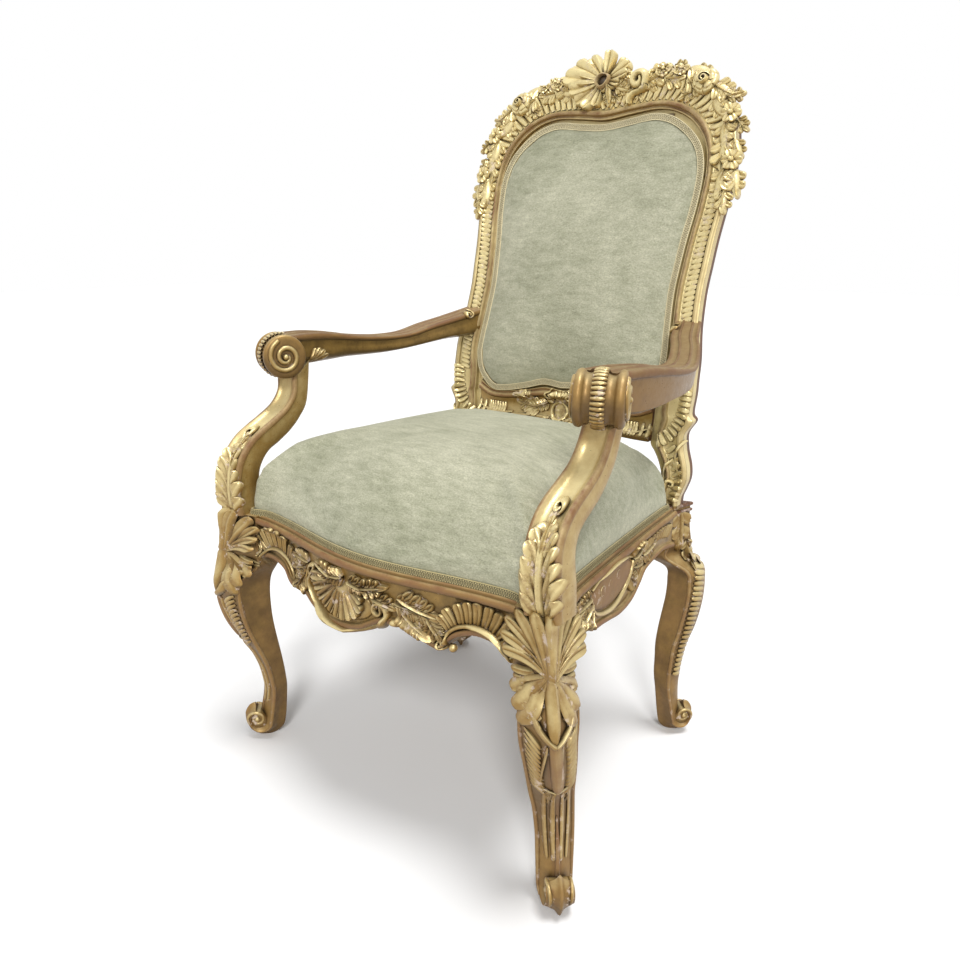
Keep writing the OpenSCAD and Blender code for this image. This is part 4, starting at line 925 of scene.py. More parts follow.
class CHAIR_OT_front_legs(bpy.types.Operator):
    """Front legs with their knee leaves, reeds and scroll feet"""
    bl_idname = "chair.front_legs"
    bl_label = "Front legs"

    def execute(self, context):
        bm = new_mesh()
        foot_x, foot_y = mm(sizes().front_foot) / 2, FRONT_FOOT_REACH
        joint = leg_joint()
        rings = [block_ring(joint, LEG_BLOCK, -1, row) for row in FRONT_BLOCK]
        rings += [leg_ring(foot_x, foot_y, -1, row) for row in FRONT_LEG]
        rings += [heel_ring(foot_x, foot_y, -1, FRONT_HEEL, row) for row in HEEL]
        rings = [smooth_ring(ring, 4) for ring in smooth_rings(rings, 5)]
        worn = [0.7 if 24 <= j <= 32 else 0.35 for j in range(len(rings[0]))]
        tube(bm, rings, worn)
        knee = Bed(bm, (foot_x, -foot_y, 0), (1, 1, 0))
        left = Bed(bm, (foot_x, -foot_y, 0), (1, 0.12, 0))
        right = Bed(bm, (foot_x, -foot_y, 0), (-0.12, 1, 0))
        foot_scroll(bm, foot_x, foot_y, -1, FRONT_HEEL)
        for index, last in ((12, 80), (44, 80)):
            leg_rope(bm, rings, index, 3.6, 20, last)
        leg_rope(bm, rings, 28, 3.2, 55, 95, 0.9)

        def lean(z):
            """Way along the knee's width that its middle line takes at a height"""
            return -33 + (z < 430) * 0.07 * (430 - z) + (z < 270) * 0.09 * (270 - z)

        # Shell that opens upward, the leaf that hangs below it, the bracket and the spine
        for side in (1, -1):
            for off, reach, wide, bend in ((56, 54, 14, 1.0), (45, 62, 14, 0.75), (34, 69, 14.5, 0.5),
                                           (23, 75, 15, 0.3), (12, 78, 15, 0.12)):
                knee.lay(finger(bm, reach, wide, 9, bend=-side * bend, root=0.3, peak=0.82, groove=0.6,
                                curl=0.5, rows=14, cols=8), lean(368) + side * 2, 368,
                         radians(90 - side * off * 0.72))
            for off, reach, wide in ((54, 50, 15), (38, 62, 16), (22, 74, 16)):
                knee.lay(finger(bm, reach, wide, 9, bend=side * 0.3, root=0.35, peak=0.7, groove=0.5,
                                curl=0.3, rows=12, cols=6), lean(368) + side * 4, 372,
                         radians(-90 + side * off * 0.7))
            for k in range(5):
                knee.lay(finger(bm, 24 - 1.5 * k, 11, 7, bend=side * 0.9, root=0.6, peak=0.7, groove=0.5,
                                curl=0.4, rows=9, cols=6), lean(350) + side * (17 - k), 366 - 10 * k,
                         radians(-90 + side * 55))
            knee.lay(bar(bm, flat((0, 0), (9 * side, 7), (19 * side, 18), (26 * side, 34)), 10, 10,
                         (1.0, 0.5)), lean(292), 291)
            knee.lay(bar(bm, flat((side * 9, -4), (side * 11, -44), (side * 10, -82)), 4, 5), lean(292), 292)
            for off, wide in ((6.5, 7), (16.5, 6)):
                reed = flat((side * off - 9, 198), (side * off - 4, 150), (side * off * 0.92 - 1, 108),
                            (side * off * 0.8, 74))
                knee.lay(bar(bm, reed, wide, 3.5))
            knee.lay(acanthus(bm, 28, 11, 4, 2), side * 11 - 8, 201, radians(-87 + side * 3))
        knee.lay(finger(bm, 80, 19, 11, root=0.4, peak=0.82, groove=0.3, curl=0.4, rows=14, cols=8),
                 lean(368), 366, radians(90))
        knee.lay(finger(bm, 84, 18, 11, root=0.4, peak=0.6, groove=0.3, rows=14, cols=8), lean(368), 376,
                 radians(-88))
        spine = bar(bm, flat((0, 0), (6, -42), (13, -84)), 18, 8, (1.0, 0.7))
        mark(bm, spine, worn=0.8)
        knee.lay(spine, lean(292), 291)
        knee.lay(bar(bm, flat((-26, 3), (-13, 0), (0, -1), (13, 0), (26, 3)), 5, 5, (0.7, 0.7)), -10, 206)
        for k in range(12):
            z = 300 - 8.2 * k
            left.lay(finger(bm, 33 - 0.5 * k, 9.5, 4.5, bend=-0.6, root=0.5, rows=7), -35, z, radians(-22))
            right.lay(finger(bm, 33 - 0.5 * k, 9.5, 4.5, bend=0.6, root=0.5, rows=7), 2 + 0.22 * (270 - z),
                      z, radians(202))
        keep_pair(bm, "carved_front_leg", ["aged_gilding"], "front_leg")
        return {"FINISHED"}


class CHAIR_OT_rear_posts(bpy.types.Operator):
    """Rear legs, post blocks and moulded stiles"""
    bl_idname = "chair.rear_posts"
    bl_label = "Rear posts"

    def execute(self, context):
        bm = new_mesh()
        foot_x, foot_y = mm(sizes().back_foot) / 2, BACK_FOOT_REACH
        half, total, seat = mm(sizes().back_half), mm(sizes().total_height), mm(sizes().seat_height)
        joint = post_joint()
        rings = [heel_ring(foot_x, foot_y, 1, BACK_HEEL, row) for row in reversed(HEEL)]
        rings += [leg_ring(foot_x, foot_y, 1, row) for row in BACK_LEG]
        rings += [block_ring(joint, POST_BLOCK, 1, row) for row in BACK_BLOCK]
        rings = [smooth_ring(ring, 4) for ring in smooth_rings(rings, 5)]
        tube(bm, rings, 0.4)
        bmesh.ops.recalc_face_normals(bm, faces=bm.faces)
        for face in bm.faces:
            high = face.calc_center_median().z
            if face.normal.y > 0.8 and high > 0.36 or high > 0.43:
                face.material_index = TIMBER
        foot = (seat / total - STILE_SINK,) + STILE[0][1:]
        moulded(bm, [frame_ring((half * r[1], total * r[0]), (half * r[2], total * r[0]))
                     for r in [foot] + STILE], 5)
        foot_scroll(bm, foot_x, foot_y, 1, BACK_HEEL)
        for index, last in ((12, 108), (44, 108)):
            leg_rope(bm, rings, index, 3.2, 45, last)
        outer = Bed(bm, (foot_x, foot_y, 0), (0, 1, 0))
        hip = Bed(bm, (foot_x, foot_y, 0), (0.5, 0.86, 0))
        rear = Bed(bm, (foot_x, foot_y, 0), (-1, 0.1, 0))
        for k in range(26):
            z = 352 - 9.2 * k
            hip.lay(finger(bm, 34 - 0.4 * k, 11, 4.5, bend=0.4, root=0.5, rows=7), 4 + 0.11 * (z - 270), z,
                    radians(152))
            rear.lay(finger(bm, 28 - 0.3 * k, 9, 4.5, bend=-0.4, root=0.5, rows=7), -9 - 0.08 * (z - 270),
                     z - 8, radians(22))
        outer.lay(acanthus(bm, 66, 40, 8, 2), -38, 424, radians(-90))
        hip.lay(acanthus(bm, 44, 26, 7, 2), -22, 372, radians(-84))
        # Ring mouldings under and over the block at the back
        for z, out in ((434, 3), (424, 2.5)):
            ring = block_ring(joint, POST_BLOCK, 1, (z / seat, 1.03, 1.03, -0.01))
            middle = sum(ring, Vector()) / len(ring)
            tubes = [circle(point, (point - middle).normalized(), Vector((0, 0, 1)), out * MM)
                     for point in smooth_ring(ring, 3)]
            for face in {f for v in hoop(bm, tubes) for f in v.link_faces}:
                face.material_index = TIMBER
        front = back_bed(bm, total)
        for rows, share, count, wide in ((STILE[9:], 0.46, 40, 11.5), (STILE[:6], 0.5, 9, 9.5)):
            line = [Vector((half * (r[1] + (r[2] - r[1]) * share), total * r[0], 0)) for r in rows]
            gadroons(bm, front, line, count, 20, wide, 4, lean=0.45, side=-1)
        front.lay(bar(bm, flat((219, 534), (209, 520), (205, 500), (212, 486)) + volute((220, 492), 8, 2,
                                                                                        3.6, -1.0), 6, 6))
        front.lay(bar(bm, flat((236, 566), (228, 553), (222, 540), (226, 520), (236, 508)), 5.5, 5))
        front.lay(bead(bm, 7, 5), 224, 511)
        gadroons(bm, front, flat((182, 550), (196, 558), (207, 572), (214, 594), (215, 622)), 11, 22, 9, 5,
                 side=-1, groove=0.4, peak=0.8)
        for face in bm.faces:
            if face.material_index != TIMBER and face.calc_center_median().z > 0.44:
                face.material_index = PALE
        keep_pair(bm, "carved_rear_post", ["aged_gilding", "stained_timber", "pale_gilding"], "rear_post")
        return {"FINISHED"}


def moulded(bm, rings, parts):
    """Skin of a moulded member of the back, with timber instead of leaf behind"""
    worn = smooth_wear(FRAME_SECTION, 3)
    made = tube(bm, [smooth_ring(ring, 3) for ring in smooth_rings(rings, parts)])
    layer = bm.verts.layers.float["worn"]
    for k, vert in enumerate(made):
        vert[layer] = worn[k % len(worn)]
    for face in {face for vert in made for face in vert.link_faces}:
        if sum(v[layer] for v in face.verts) < -2:
            face.material_index = TIMBER
    for vert in made:
        vert[layer] = max(0.0, vert[layer])


def frame_member(bm, rows):
    """Moulded member of the back through pairs of inner and outer places"""
    half, total = mm(sizes().back_half), mm(sizes().total_height)
    rings = [frame_ring((half * a, total * b), (half * c, total * d), depth) for a, b, c, d, depth in rows]
    moulded(bm, rings, 6)


def both_halves(half_rows):
    """Rows of a whole member from the rows of its right half, which runs from the middle"""
    left = [(-a, b, -c, d, e) for a, b, c, d, e in reversed(half_rows[1:])]
    return left + list(half_rows)


def crest_rows():
    """Rows of the whole crest rail, from right to left"""
    return list(reversed(both_halves(list(reversed(CREST)))))


class CHAIR_OT_crest(bpy.types.Operator):
    """Arched crest rail with its row of flutes"""
    bl_idname = "chair.crest"
    bl_label = "Crest rail"

    def execute(self, context):
        half, total = mm(sizes().back_half), mm(sizes().total_height)
        bm = new_mesh()
        frame_member(bm, crest_rows())
        bed = back_bed(bm, total)
        for side in (1, -1):
            line = [Vector((side * half * (r[0] + (r[2] - r[0]) * 0.44),
                            total * (r[1] + (r[3] - r[1]) * 0.44), 0)) for r in reversed(CREST)]
            gadroons(bm, bed, line, 25, 28, 12.5, 6, lean=0.45, side=side, groove=0.35, peak=0.75,
                     grow=lambda s: 1.25 if s < 0.75 else 1.05)
        keep(bm, "carved_crest_rail", ["pale_gilding", "stained_timber"], ["crest_rail"])
        return {"FINISHED"}


class CHAIR_OT_crest_carving(bpy.types.Operator):
    """Shell with an eye of painted shade, scroll and flowers on the crest"""
    bl_idname = "chair.crest_carving"
    bl_label = "Crest carving"

    def ground(self):
        """Copy of the frame's shape to lay the carving on"""
        base = new_mesh()
        frame_member(base, crest_rows())
        half, total = mm(sizes().back_half), mm(sizes().total_height)
        for side in (1, -1):
            rings = [frame_ring((side * half * r[1], total * r[0]), (side * half * r[2], total * r[0]))
                     for r in STILE[8:]]
            tube(base, [smooth_ring(ring, 3) for ring in rings])
        return base

    def execute(self, context):
        base = self.ground()
        bed = back_bed(base, mm(sizes().total_height), 0.22)
        # Shell round its eye, which a dark bead of painted shade fills in place of a pierced hole
        bm = new_mesh()
        eye = (-9, 1077)
        for angle, reach in ((-12, 32), (12, 42), (36, 47), (60, 46), (84, 46), (108, 49), (131, 58),
                             (151, 74), (168, 78), (187, 62), (208, 56), (231, 49), (252, 38)):
            turn = radians(angle)
            bed.lay(finger(bm, reach - 9, reach * 0.45, 14, root=0.28, peak=0.84, groove=0.72, curl=0.3,
                           rows=14, cols=8), eye[0] + 9 * cos(turn), eye[1] + 9 * sin(turn), turn, lift=1)
        ring = bar(bm, volute((0, 0), 10.5, 10.5, 0.6, 1.0, 24), 5, 12, (1, 1), 2)
        mark(bm, ring, worn=1.0)
        bed.lay(ring, *eye, lift=4)
        # The dark bead is painted shade, standing where the view through the pierced eye would fall dark
        eye_shadow_bead = bead(bm, 9.5, 7)
        bed.lay(eye_shadow_bead, *eye, lift=3)
        for face in {face for vert in eye_shadow_bead for face in vert.link_faces}:
            face.material_index = 1
        bed.lay(acanthus(bm, 32, 22, 9, 2), 0, 1074, radians(-80), lift=3)
        for x, y, turn, reach in ((6, 1064, -46, 26), (4, 1062, -88, 22), (14, 1068, -16, 26),
                                  (16, 1080, 14, 24)):
            bed.lay(acanthus(bm, reach, 19, 7, 2), x, y, radians(turn), lift=3)
        keep(bm, "carved_crest_shell", ["pale_gilding", "dark_hollow"], ["crest_shell"])
        # Scroll beside the shell
        bm = new_mesh()
        bed.lay(bar(bm, flat((44, 1068), (42, 1077), (47, 1085), (57, 1089), (67, 1093))
                    + volute((54, 1103), 14.5, 4, -0.6, 1.25), 13, 13, (0.3, 0.5), 5), lift=2)
        for x, y, turn in ((44, 1072, 172), (48, 1070, -60), (60, 1078, -36)):
            bed.lay(acanthus(bm, 28, 22, 7, 2), x, y, radians(turn), lift=1)
        keep(bm, "carved_crest_scroll", ["pale_gilding"], ["crest_volute"])
        # Flowers and leaves down the two shoulders
        for side, hand in ((1, "right"), (-1, "left")):
            bm = new_mesh()
            for x, y, turn, reach, wide in ((66, 1068, 12, 36, 28), (72, 1080, 8, 30, 22),
                                            (100, 1070, -12, 32, 24), (104, 1088, -8, 24, 20),
                                            (134, 1082, -22, 36, 26), (138, 1064, -38, 34, 24),
                                            (150, 1052, 200, 28, 20), (180, 1054, -38, 38, 28),
                                            (184, 1036, -62, 34, 24), (203, 1036, 5, 24, 18),
                                            (208, 1000, -88, 38, 26), (224, 1004, -50, 26, 18),
                                            (212, 974, -96, 40, 28), (227, 976, -70, 28, 20),
                                            (220, 936, -102, 42, 28), (235, 936, -84, 40, 24),
                                            (227, 906, -92, 32, 22)):
                angle = radians(turn if side > 0 else 180 - turn)
                bed.lay(acanthus(bm, reach, wide * 1.1, 7.5, 2, bend=0.3 * side), x * side, y, angle, lift=1)
            for x, y, size, kind in ((94, 1083, 13, 0), (108, 1090, 9, 0), (123, 1081, 12, 0),
                                     (166, 1059, 19, 1), (214, 1012, 15, 0), (229, 948, 15, 0)):
                petals, rings = (6, 1) if size > 13 else (5, 2)
                made = rose(bm, size, 12) if kind else flower(bm, size, 7, petals, rings)
                bed.lay(made, x * side, y, lift=5)
            keep(bm, f"carved_crest_flowers_{hand}", ["pale_gilding"], [f"crest_flowers_{hand}"])
        base.free()
        return {"FINISHED"}


class CHAIR_OT_lower_back(bpy.types.Operator):
    """Lower rail of the back with its rosette, leaves and flutes"""
    bl_idname = "chair.lower_back"
    bl_label = "Lower back rail"

    def execute(self, context):
        bm = new_mesh()
        frame_member(bm, both_halves(LOWER_RAIL))
        bed = back_bed(bm, BEND)
        carved = new_mesh()
        for side in (1, -1):
            for x, count in ((130, 6), (160, 3)):
                line = flat((side * x - 17, 562), (side * x + 17, 562))
                gadroons(bm, bed, line, count, 24, 8.5, 4.5, side=-1, lean=0.1)
            bed.lay(acanthus(bm, 52, 30, 5, 4, bend=0.3 * side), 38 * side, 562,
                    radians(0 if side > 0 else 180))
            bed.lay(acanthus(bm, 40, 22, 4.5, 3, bend=-0.4 * side), 58 * side, 574,
                    radians(20 if side > 0 else 160))
            bed.lay(bar(bm, flat((172 * side, 556), (150 * side, 548), (120 * side, 546), (96 * side, 550)),
                        5, 4.5))
        # Rosette in its pair of scrolls
        for side in (1, -1):
            points = volute((20 * side, 586), 8, 2, radians(90), -side)
            bed.lay(bar(carved, points[::-1] + flat((16 * side, 600)), 6, 6), lift=1)
            bed.lay(acanthus(carved, 34, 20, 5, 3, bend=0.5 * side), 22 * side, 572,
                    radians(-30 if side > 0 else 210), lift=1)
            bed.lay(acanthus(carved, 26, 18, 5, 3), 14 * side, 548, radians(-50 if side > 0 else 230),
                    lift=1)
        bed.lay(bar(carved, volute((3, 562), 15, 15, 0.0, 1.0, 24), 6, 6, (1, 1), 2), lift=2)
        bed.lay(bead(carved, 8, 6), 3, 562, lift=2)
        bed.lay(fan(carved, [(30, 28), (60, 30), (90, 30), (120, 30), (150, 28)], 5, 16), 3, 566, lift=1)
        bed.lay(finger(carved, 40, 34, 4, root=0.8, peak=0.5), 3, 546, radians(90))
        keep(bm, "carved_lower_back_rail", ["bright_gilding", "stained_timber"], ["lower_back_rail"])
        keep(carved, "carved_back_rosette", ["bright_gilding"], ["back_rail_rosette"])
        return {"FINISHED"}


RAIL_PROFILE = [(1, 0, 0.3), (0.98, 0.5, 0.6), (0.9, 0.9, 0.9), (0.8, 1.02, 1), (0.68, 0.92, 0.9),
                (0.6, 0.55, 0.3), (0.54, 0.36, 0), (0.46, 0.4, 0.1), (0.36, 0.58, 0.6), (0.22, 0.6, 1),
                (0.07, 0.36, 1), (0, -0.05, 1), (0.03, -0.5, 0.8), (0.14, -0.78, 0.3), (0.32, -0.86, 0),
                (0.4, -1.1, 0), (0.42, -1.7, 0)]


def rail_section(thickness, low, ledge):
    """Section of a seat rail: distance in from its face, height, wear"""
    top = [(BEAD_WIDTH * a, ledge + BEAD_HEIGHT * b, w) for a, b, w in RAIL_PROFILE]
    skirt = [
        (5.6, low + 18, 0), (5.4, low + 11, 0), (4.0, low + 9, 0.2), (0.6, low + 8, 0.8), (-0.6, low + 5, 1),
        (0.2, low + 1.6, 1), (3.5, low - 0.4, 0.8), (9, low, 0.3), (thickness, low, 0), (thickness, low, 0)
    ]
    return [(thickness, ledge, 0), (thickness, ledge, 0)] + top + skirt


class CHAIR_OT_front_rail(bpy.types.Operator):
    """Serpentine front rail with its shell, leaves and fluted arches"""
    bl_idname = "chair.front_rail"
    bl_label = "Front rail"

    def execute(self, context):
        seat = mm(sizes().seat_height)
        ledge = seat - BEAD_HEIGHT
        wide = leg_joint()[0]
        rows = smooth_line([Vector((r[0], r[1], 0)) for r in APRON], 5)
        rings, worn = [], None
        for row in rows:
            x = max(-1.0, min(1.0, row.x)) * wide
            face = front_face(x)
            section = rail_section(-rail_inner() - face, seat - APRON_DEPTH * row.y, ledge)
            rings.append(smooth_ring([Vector((x, face + p[0], p[1])) * MM for p in section], 2))
            worn = worn or smooth_wear(section, 2)
        bm = new_mesh()
        tube(bm, rings, worn)
        bed = Bed(bm, (0, -300, 0), (1, 0, 0))
        right_arch = flat((150, 356), (150, 370), (166, 384), (190, 390), (214, 386), (232, 374), (243, 358))
        left_arch = flat((-146, 362), (-152, 378), (-170, 392), (-195, 396), (-222, 388), (-238, 372),
                         (-246, 352))
        for line, sign in ((right_arch, 1), (left_arch, -1)):
            bed.lay(bar(bm, line, 7, 6.5, (0.8, 0.8)))
            curl = volute((line[0].x - 7 * sign, line[0].y - 1), 8, 2, 0 if sign > 0 else pi, -1.4 * sign)
            bed.lay(bar(bm, curl, 5, 5))
            gadroons(bm, bed, line[1:], 11, 30, 15, 7, lean=0.3, side=sign, groove=0.6, peak=0.84,
                     grow=lambda s: 0.85 + 0.35 * sin(pi * s))
        for x, y, turn, reach, wide_leaf, bend in (
                (80, 404, -24, 66, 36, 0.35), (84, 390, -48, 56, 32, 0.4), (74, 396, -2, 58, 28, -0.3),
                (122, 388, -62, 38, 28, 0.3), (-106, 398, 205, 46, 30, -0.4), (-110, 386, 232, 42, 30, -0.4),
                (-122, 374, 255, 32, 24, 0.3), (-100, 406, 172, 48, 24, 0.3), (-244, 400, 240, 34, 26, 0.3),
                (-262, 388, 100, 34, 26, 0.3)):
            bed.lay(acanthus(bm, reach, wide_leaf, 8, 4, bend=bend), x, y, radians(turn))
        bed.lay(bead(bm, 7, 7), 76, 368)
        bed.lay(bead(bm, 6, 6), 160, 354)
        keep(bm, "carved_front_rail", ["aged_gilding"], ["front_rail"])
        # Shell in its scroll
        shell = new_mesh()
        bed.lay(finger(shell, 110, 56, 5, root=0.8, peak=0.5, rows=10, cols=8), -74, 376, 0)
        reaches = (66, 64, 62, 58, 56, 56, 56, 56, 56, 54, 48)
        bed.lay(fan(shell, [(188 + 15 * k, reach) for k, reach in enumerate(reaches)], 10, 14), -20, 404,
                lift=2)
        scroll = volute((-86, 396), 3, 12, 0.4, -0.9)
        scroll += flat((-98, 380), (-90, 359), (-68, 341), (-34, 331), (2, 331), (34, 344), (54, 360))
        scroll += volute((50, 380), 15, 3, -0.9, 1.3)
        bed.lay(bar(shell, scroll, 9, 9, (0.5, 0.5), 4), lift=1)
        for x, y, turn, reach in ((-36, 404, 165, 44), (-56, 394, 195, 38), (20, 404, 15, 44),
                                  (40, 396, -12, 38), (-16, 410, 190, 34), (-4, 408, -10, 34)):
            bed.lay(acanthus(shell, reach, 24, 9, 3), x, y, radians(turn), lift=2)
        keep(shell, "carved_apron_shell", ["aged_gilding"], ["apron_shell"])
        return {"FINISHED"}


class CHAIR_OT_side_rails(bpy.types.Operator):
    """Hollowed side rails with their cartouches"""
    bl_idname = "chair.side_rails"
    bl_label = "Side rails"

    def execute(self, context):
        seat = mm(sizes().seat_height)
        ledge = seat - BEAD_HEIGHT
        start, length = -leg_joint()[1], leg_joint()[1] + post_joint()[1]
        rows = smooth_line([Vector(r) for r in SIDE_RAIL], 6)
        rings, worn = [], None
        for row in rows:
            y = start + length * row.x
            face = side_face(y)
            section = rail_section(face - side_inner(y), seat - APRON_DEPTH * row.z, ledge)
            rings.append(smooth_ring([Vector((face - p[0], y, p[1])) * MM for p in section], 2))
            worn = worn or smooth_wear(section, 2)
        bm = new_mesh()
        tube(bm, rings, worn)
        bed = Bed(bm, (290, 0, 0), (0, 1, 0))
        cart = new_mesh()
        panel = finger(cart, 148, 60, 4, root=0.3, peak=0.5, rows=16, cols=10)
        mark(cart, panel, worn=0.85, rise=0.1)
        bed.lay(panel, -158, 397, 0)
        frame_line = flat((-156, 404), (-146, 384), (-128, 371), (-96, 362), (-66, 362), (-36, 374),
                          (-16, 392), (-8, 408))
        bed.lay(bar(cart, frame_line, 8, 6))
        bed.lay(bar(cart, flat((-152, 414), (-120, 424), (-82, 428), (-44, 424), (-12, 414)), 5, 4.5))
        for y, z in ((-119, 402), (-92, 402), (-65, 406)):
            bed.lay(bar(cart, volute((0, 0), 7, 7, 0, 1, 12), 2.6, 4, (1, 1), 2), y, z)
        for y, z, turn, reach in ((-152, 396, 200, 34), (-158, 406, 175, 36), (-150, 384, 225, 30),
                                  (-12, 398, -15, 34), (-10, 410, 10, 36), (-18, 386, -45, 28)):
            bed.lay(acanthus(cart, reach + 8, 28, 8, 3, bend=0.3), y, z, radians(turn))
        for centre, hand in ((-190, 1), (20, -1)):
            bed.lay(bar(bm, volute((centre, 396), 10, 2.5, 0 if hand > 0 else pi, 1.3 * hand), 5, 5))
        line = flat((30, 392), (60, 402), (100, 404), (140, 396))
        gadroons(bm, bed, line, 12, 24, 10, 5, lean=0.4, groove=0.4, peak=0.8)
        bed.lay(acanthus(bm, 54, 32, 7, 4), 30, 402, radians(8))
        bed.lay(acanthus(bm, 50, 32, 7, 4), -180, 402, radians(186))
        bed.lay(acanthus(bm, 44, 30, 7, 3), -186, 388, radians(215))
        keep_pair(bm, "carved_side_rail", ["aged_gilding"], "side_rail")
        keep_pair(cart, "carved_side_cartouche", ["aged_gilding"], "side_cartouche")
        return {"FINISHED"}


class CHAIR_OT_arms(bpy.types.Operator):
    """Moulded arms that end in scrolls"""
    bl_idname = "chair.arms"
    bl_label = "Arms"

    def execute(self, context):
        bm = new_mesh()
        height = mm(sizes().arm_height)
        housing = mm(sizes().frame_depth) * 0.16
        section = mirror_half([(p[1], p[0], p[2]) for p in ARM_SECTION])
        rings = []
        for row in ARM:
            top = height * row[2]
            low = top - ARM_ROLL * row[3]
            ring = []
            for p in section:
                z = low + (top - low) * p[0]
                y = -ARM_REACH + (back_face(height)
                                  + ARM_REACH) * row[0] if row[0] < 1 else back_face(z) + housing
                ring.append(Vector((ARM_SPREAD * row[1] + ARM_WIDTH / 2 * row[4] * p[1], y, z)) * MM)
            rings.append(ring)
        rings = [smooth_ring(ring, 2) for ring in smooth_rings(rings, 8)]
        tube(bm, rings, smooth_wear(section, 2))
        bmesh.ops.recalc_face_normals(bm, faces=bm.faces)
        # The second finish is the browner one of the top and the outside
        for face in bm.faces:
            if face.normal.x > 0.35 or face.normal.z > 0.45:
                face.material_index = 1
        # Roll at the front: bands and coves round a turned drum
        up = Vector((0, 0, 1))
        axis = Vector((cos(radians(ARM_TURN)), sin(radians(ARM_TURN)), 0))
        back = up.cross(axis)
        centre = Vector((ARM_SPREAD, -ARM_REACH, height)) * MM
        half = [(-30, 0), (-30, 20), (-29, 30), (-26, 33), (-22, 33.5), (-19, 31.5), (-17, 29.5),
                (-13, 28.6), (-9, 29.6), (-7, 31), (-5, 32.5)]
        profile = half + [(0, 33.4)] + [(-a, b) for a, b in reversed(half)]
        line = smooth_line([Vector((a, b, 0)) for a, b in profile], 2)
        sides = 48
        cells = grid(bm, sides, len(line) - 1)
        for (i, j), vert in cells.items():
            angle = 2 * pi * i / sides
            vert.co = centre + axis * line[j].x * MM + (back * cos(angle) + up * sin(angle)) * line[j].y * MM
        drum = list(cells.values())
        mark(bm, drum, worn=0.3)
        bmesh.ops.remove_doubles(bm, verts=drum, dist=0.00002)
        # Ribbed leaf band in the middle of the roll
        for k in range(26):
            angle = radians(-150 + 10 * k)
            away = up * sin(angle) - back * cos(angle)
            ahead = back * sin(angle) + up * cos(angle)
            for vert in finger(bm, 17, 6.4, 3.2, at=(-8.5, 0), root=0.6, peak=0.5, rows=5):
                local = vert.co * MM
                vert.co = centre + axis * local.x + ahead * local.y + away * (ROLL_BAND * MM + local.z)
        # Spirals on both faces of the roll
        for face_side in (1, -1):
            made = bar(bm, volute((0, 0), 27, 5, radians(70), -1.75, 14), 8.5, 4.5, (0.9, 0.5), 3)
            made += bead(bm, 5.5, 6.5)
            for vert in made:
                local = vert.co * MM
                vert.co = centre + axis * face_side * (ROLL_FACE * MM
                                                       + local.z) - back * local.x + up * local.y
        # Small volute at the stile and a leaf below the arm near the scroll
        inner = Bed(bm, (200, 0, 0), (0, -1, 0))
        inner.lay(bar(bm, volute((-178, 712), 9, 2, radians(90), 1.4), 4.5, 5))
        for turn, reach in ((178, 42), (165, 38), (151, 32), (135, 25)):
            inner.lay(finger(bm, reach, 9.5, 5, bend=-0.35, root=0.5, peak=0.7, groove=0.5, curl=0.4, rows=9,
                             cols=6), 146, 657, radians(turn))
        keep_pair(bm, "carved_arm", ["aged_gilding", "worn_gilding"], "arm")
        return {"FINISHED"}


class CHAIR_OT_arm_supports(bpy.types.Operator):
    """Swept supports with a leaf on the lower half"""
    bl_idname = "chair.arm_supports"
    bl_label = "Arm supports"

    def execute(self, context):
        bm = new_mesh()
        seat, height = mm(sizes().seat_height), mm(sizes().arm_height)
        foot = (mm(sizes().seat_front) / 2 - LEG_BLOCK * 0.2, -mm(sizes().front_reach) + SUPPORT_DEPTH / 2)
        head = (ARM_SPREAD * 0.987, -ARM_REACH + SUPPORT_DEPTH * 0.58)
        rise = height - ARM_ROLL - seat
        front_y, travel = foot[1] - SUPPORT_DEPTH / 2, head[1] - foot[1]
        section = mirror_half(SUPPORT_SECTION)
        rings = []
        for row in SUPPORT:
            middle = head[0] + (foot[0] - head[0]) * row[4]
            front = (front_y + travel * row[1], seat + rise * row[0])
            rear = (front_y + SUPPORT_DEPTH + travel * row[3], seat + rise * row[2])
            rings.append([
                Vector((middle + SUPPORT_WIDTH / 2 * row[5] * p[1], front[0] + (rear[0] - front[0]) * p[0],
                        front[1] + (rear[1] - front[1]) * p[0])) * MM
                for p in section
            ])
        rings = [smooth_ring(ring, 3) for ring in smooth_rings(rings, 8)]
        tube(bm, rings, smooth_wear(section, 3))
        bed = Bed(bm, (0, -300, 0), (1, 0, 0))
        for z, start, reach, wide, off in ((436, 72, 38, 17, 7), (436, 84, 62, 16, 7), (454, 88, 60, 15, 6),
                                           (474, 90, 56, 14, 5), (494, 90, 48, 12, 4)):
            for side in (1, -1):
                bed.lay(finger(bm, reach, wide, 8, bend=-side * 0.5, root=0.5, peak=0.76, groove=0.6,
                               curl=0.45, rows=12, cols=8), 289 + side * off - (z - 440) * 0.08, z,
                        radians(90 - side * (90 - start)))
        bed.lay(finger(bm, 108, 13, 9, root=0.9, peak=0.5, groove=0.3, rows=16, cols=6), 289, 440,
                radians(94))
        bed.lay(acanthus(bm, 44, 26, 8, 2), 284, 514, radians(94))
        bed.lay(bar(bm, volute((282, 560), 8, 2, radians(-60), 1.2), 6, 8), lift=1)
        keep_pair(bm, "carved_arm_support", ["bright_gilding"], "arm_support")
        return {"FINISHED"}


# Upholstery

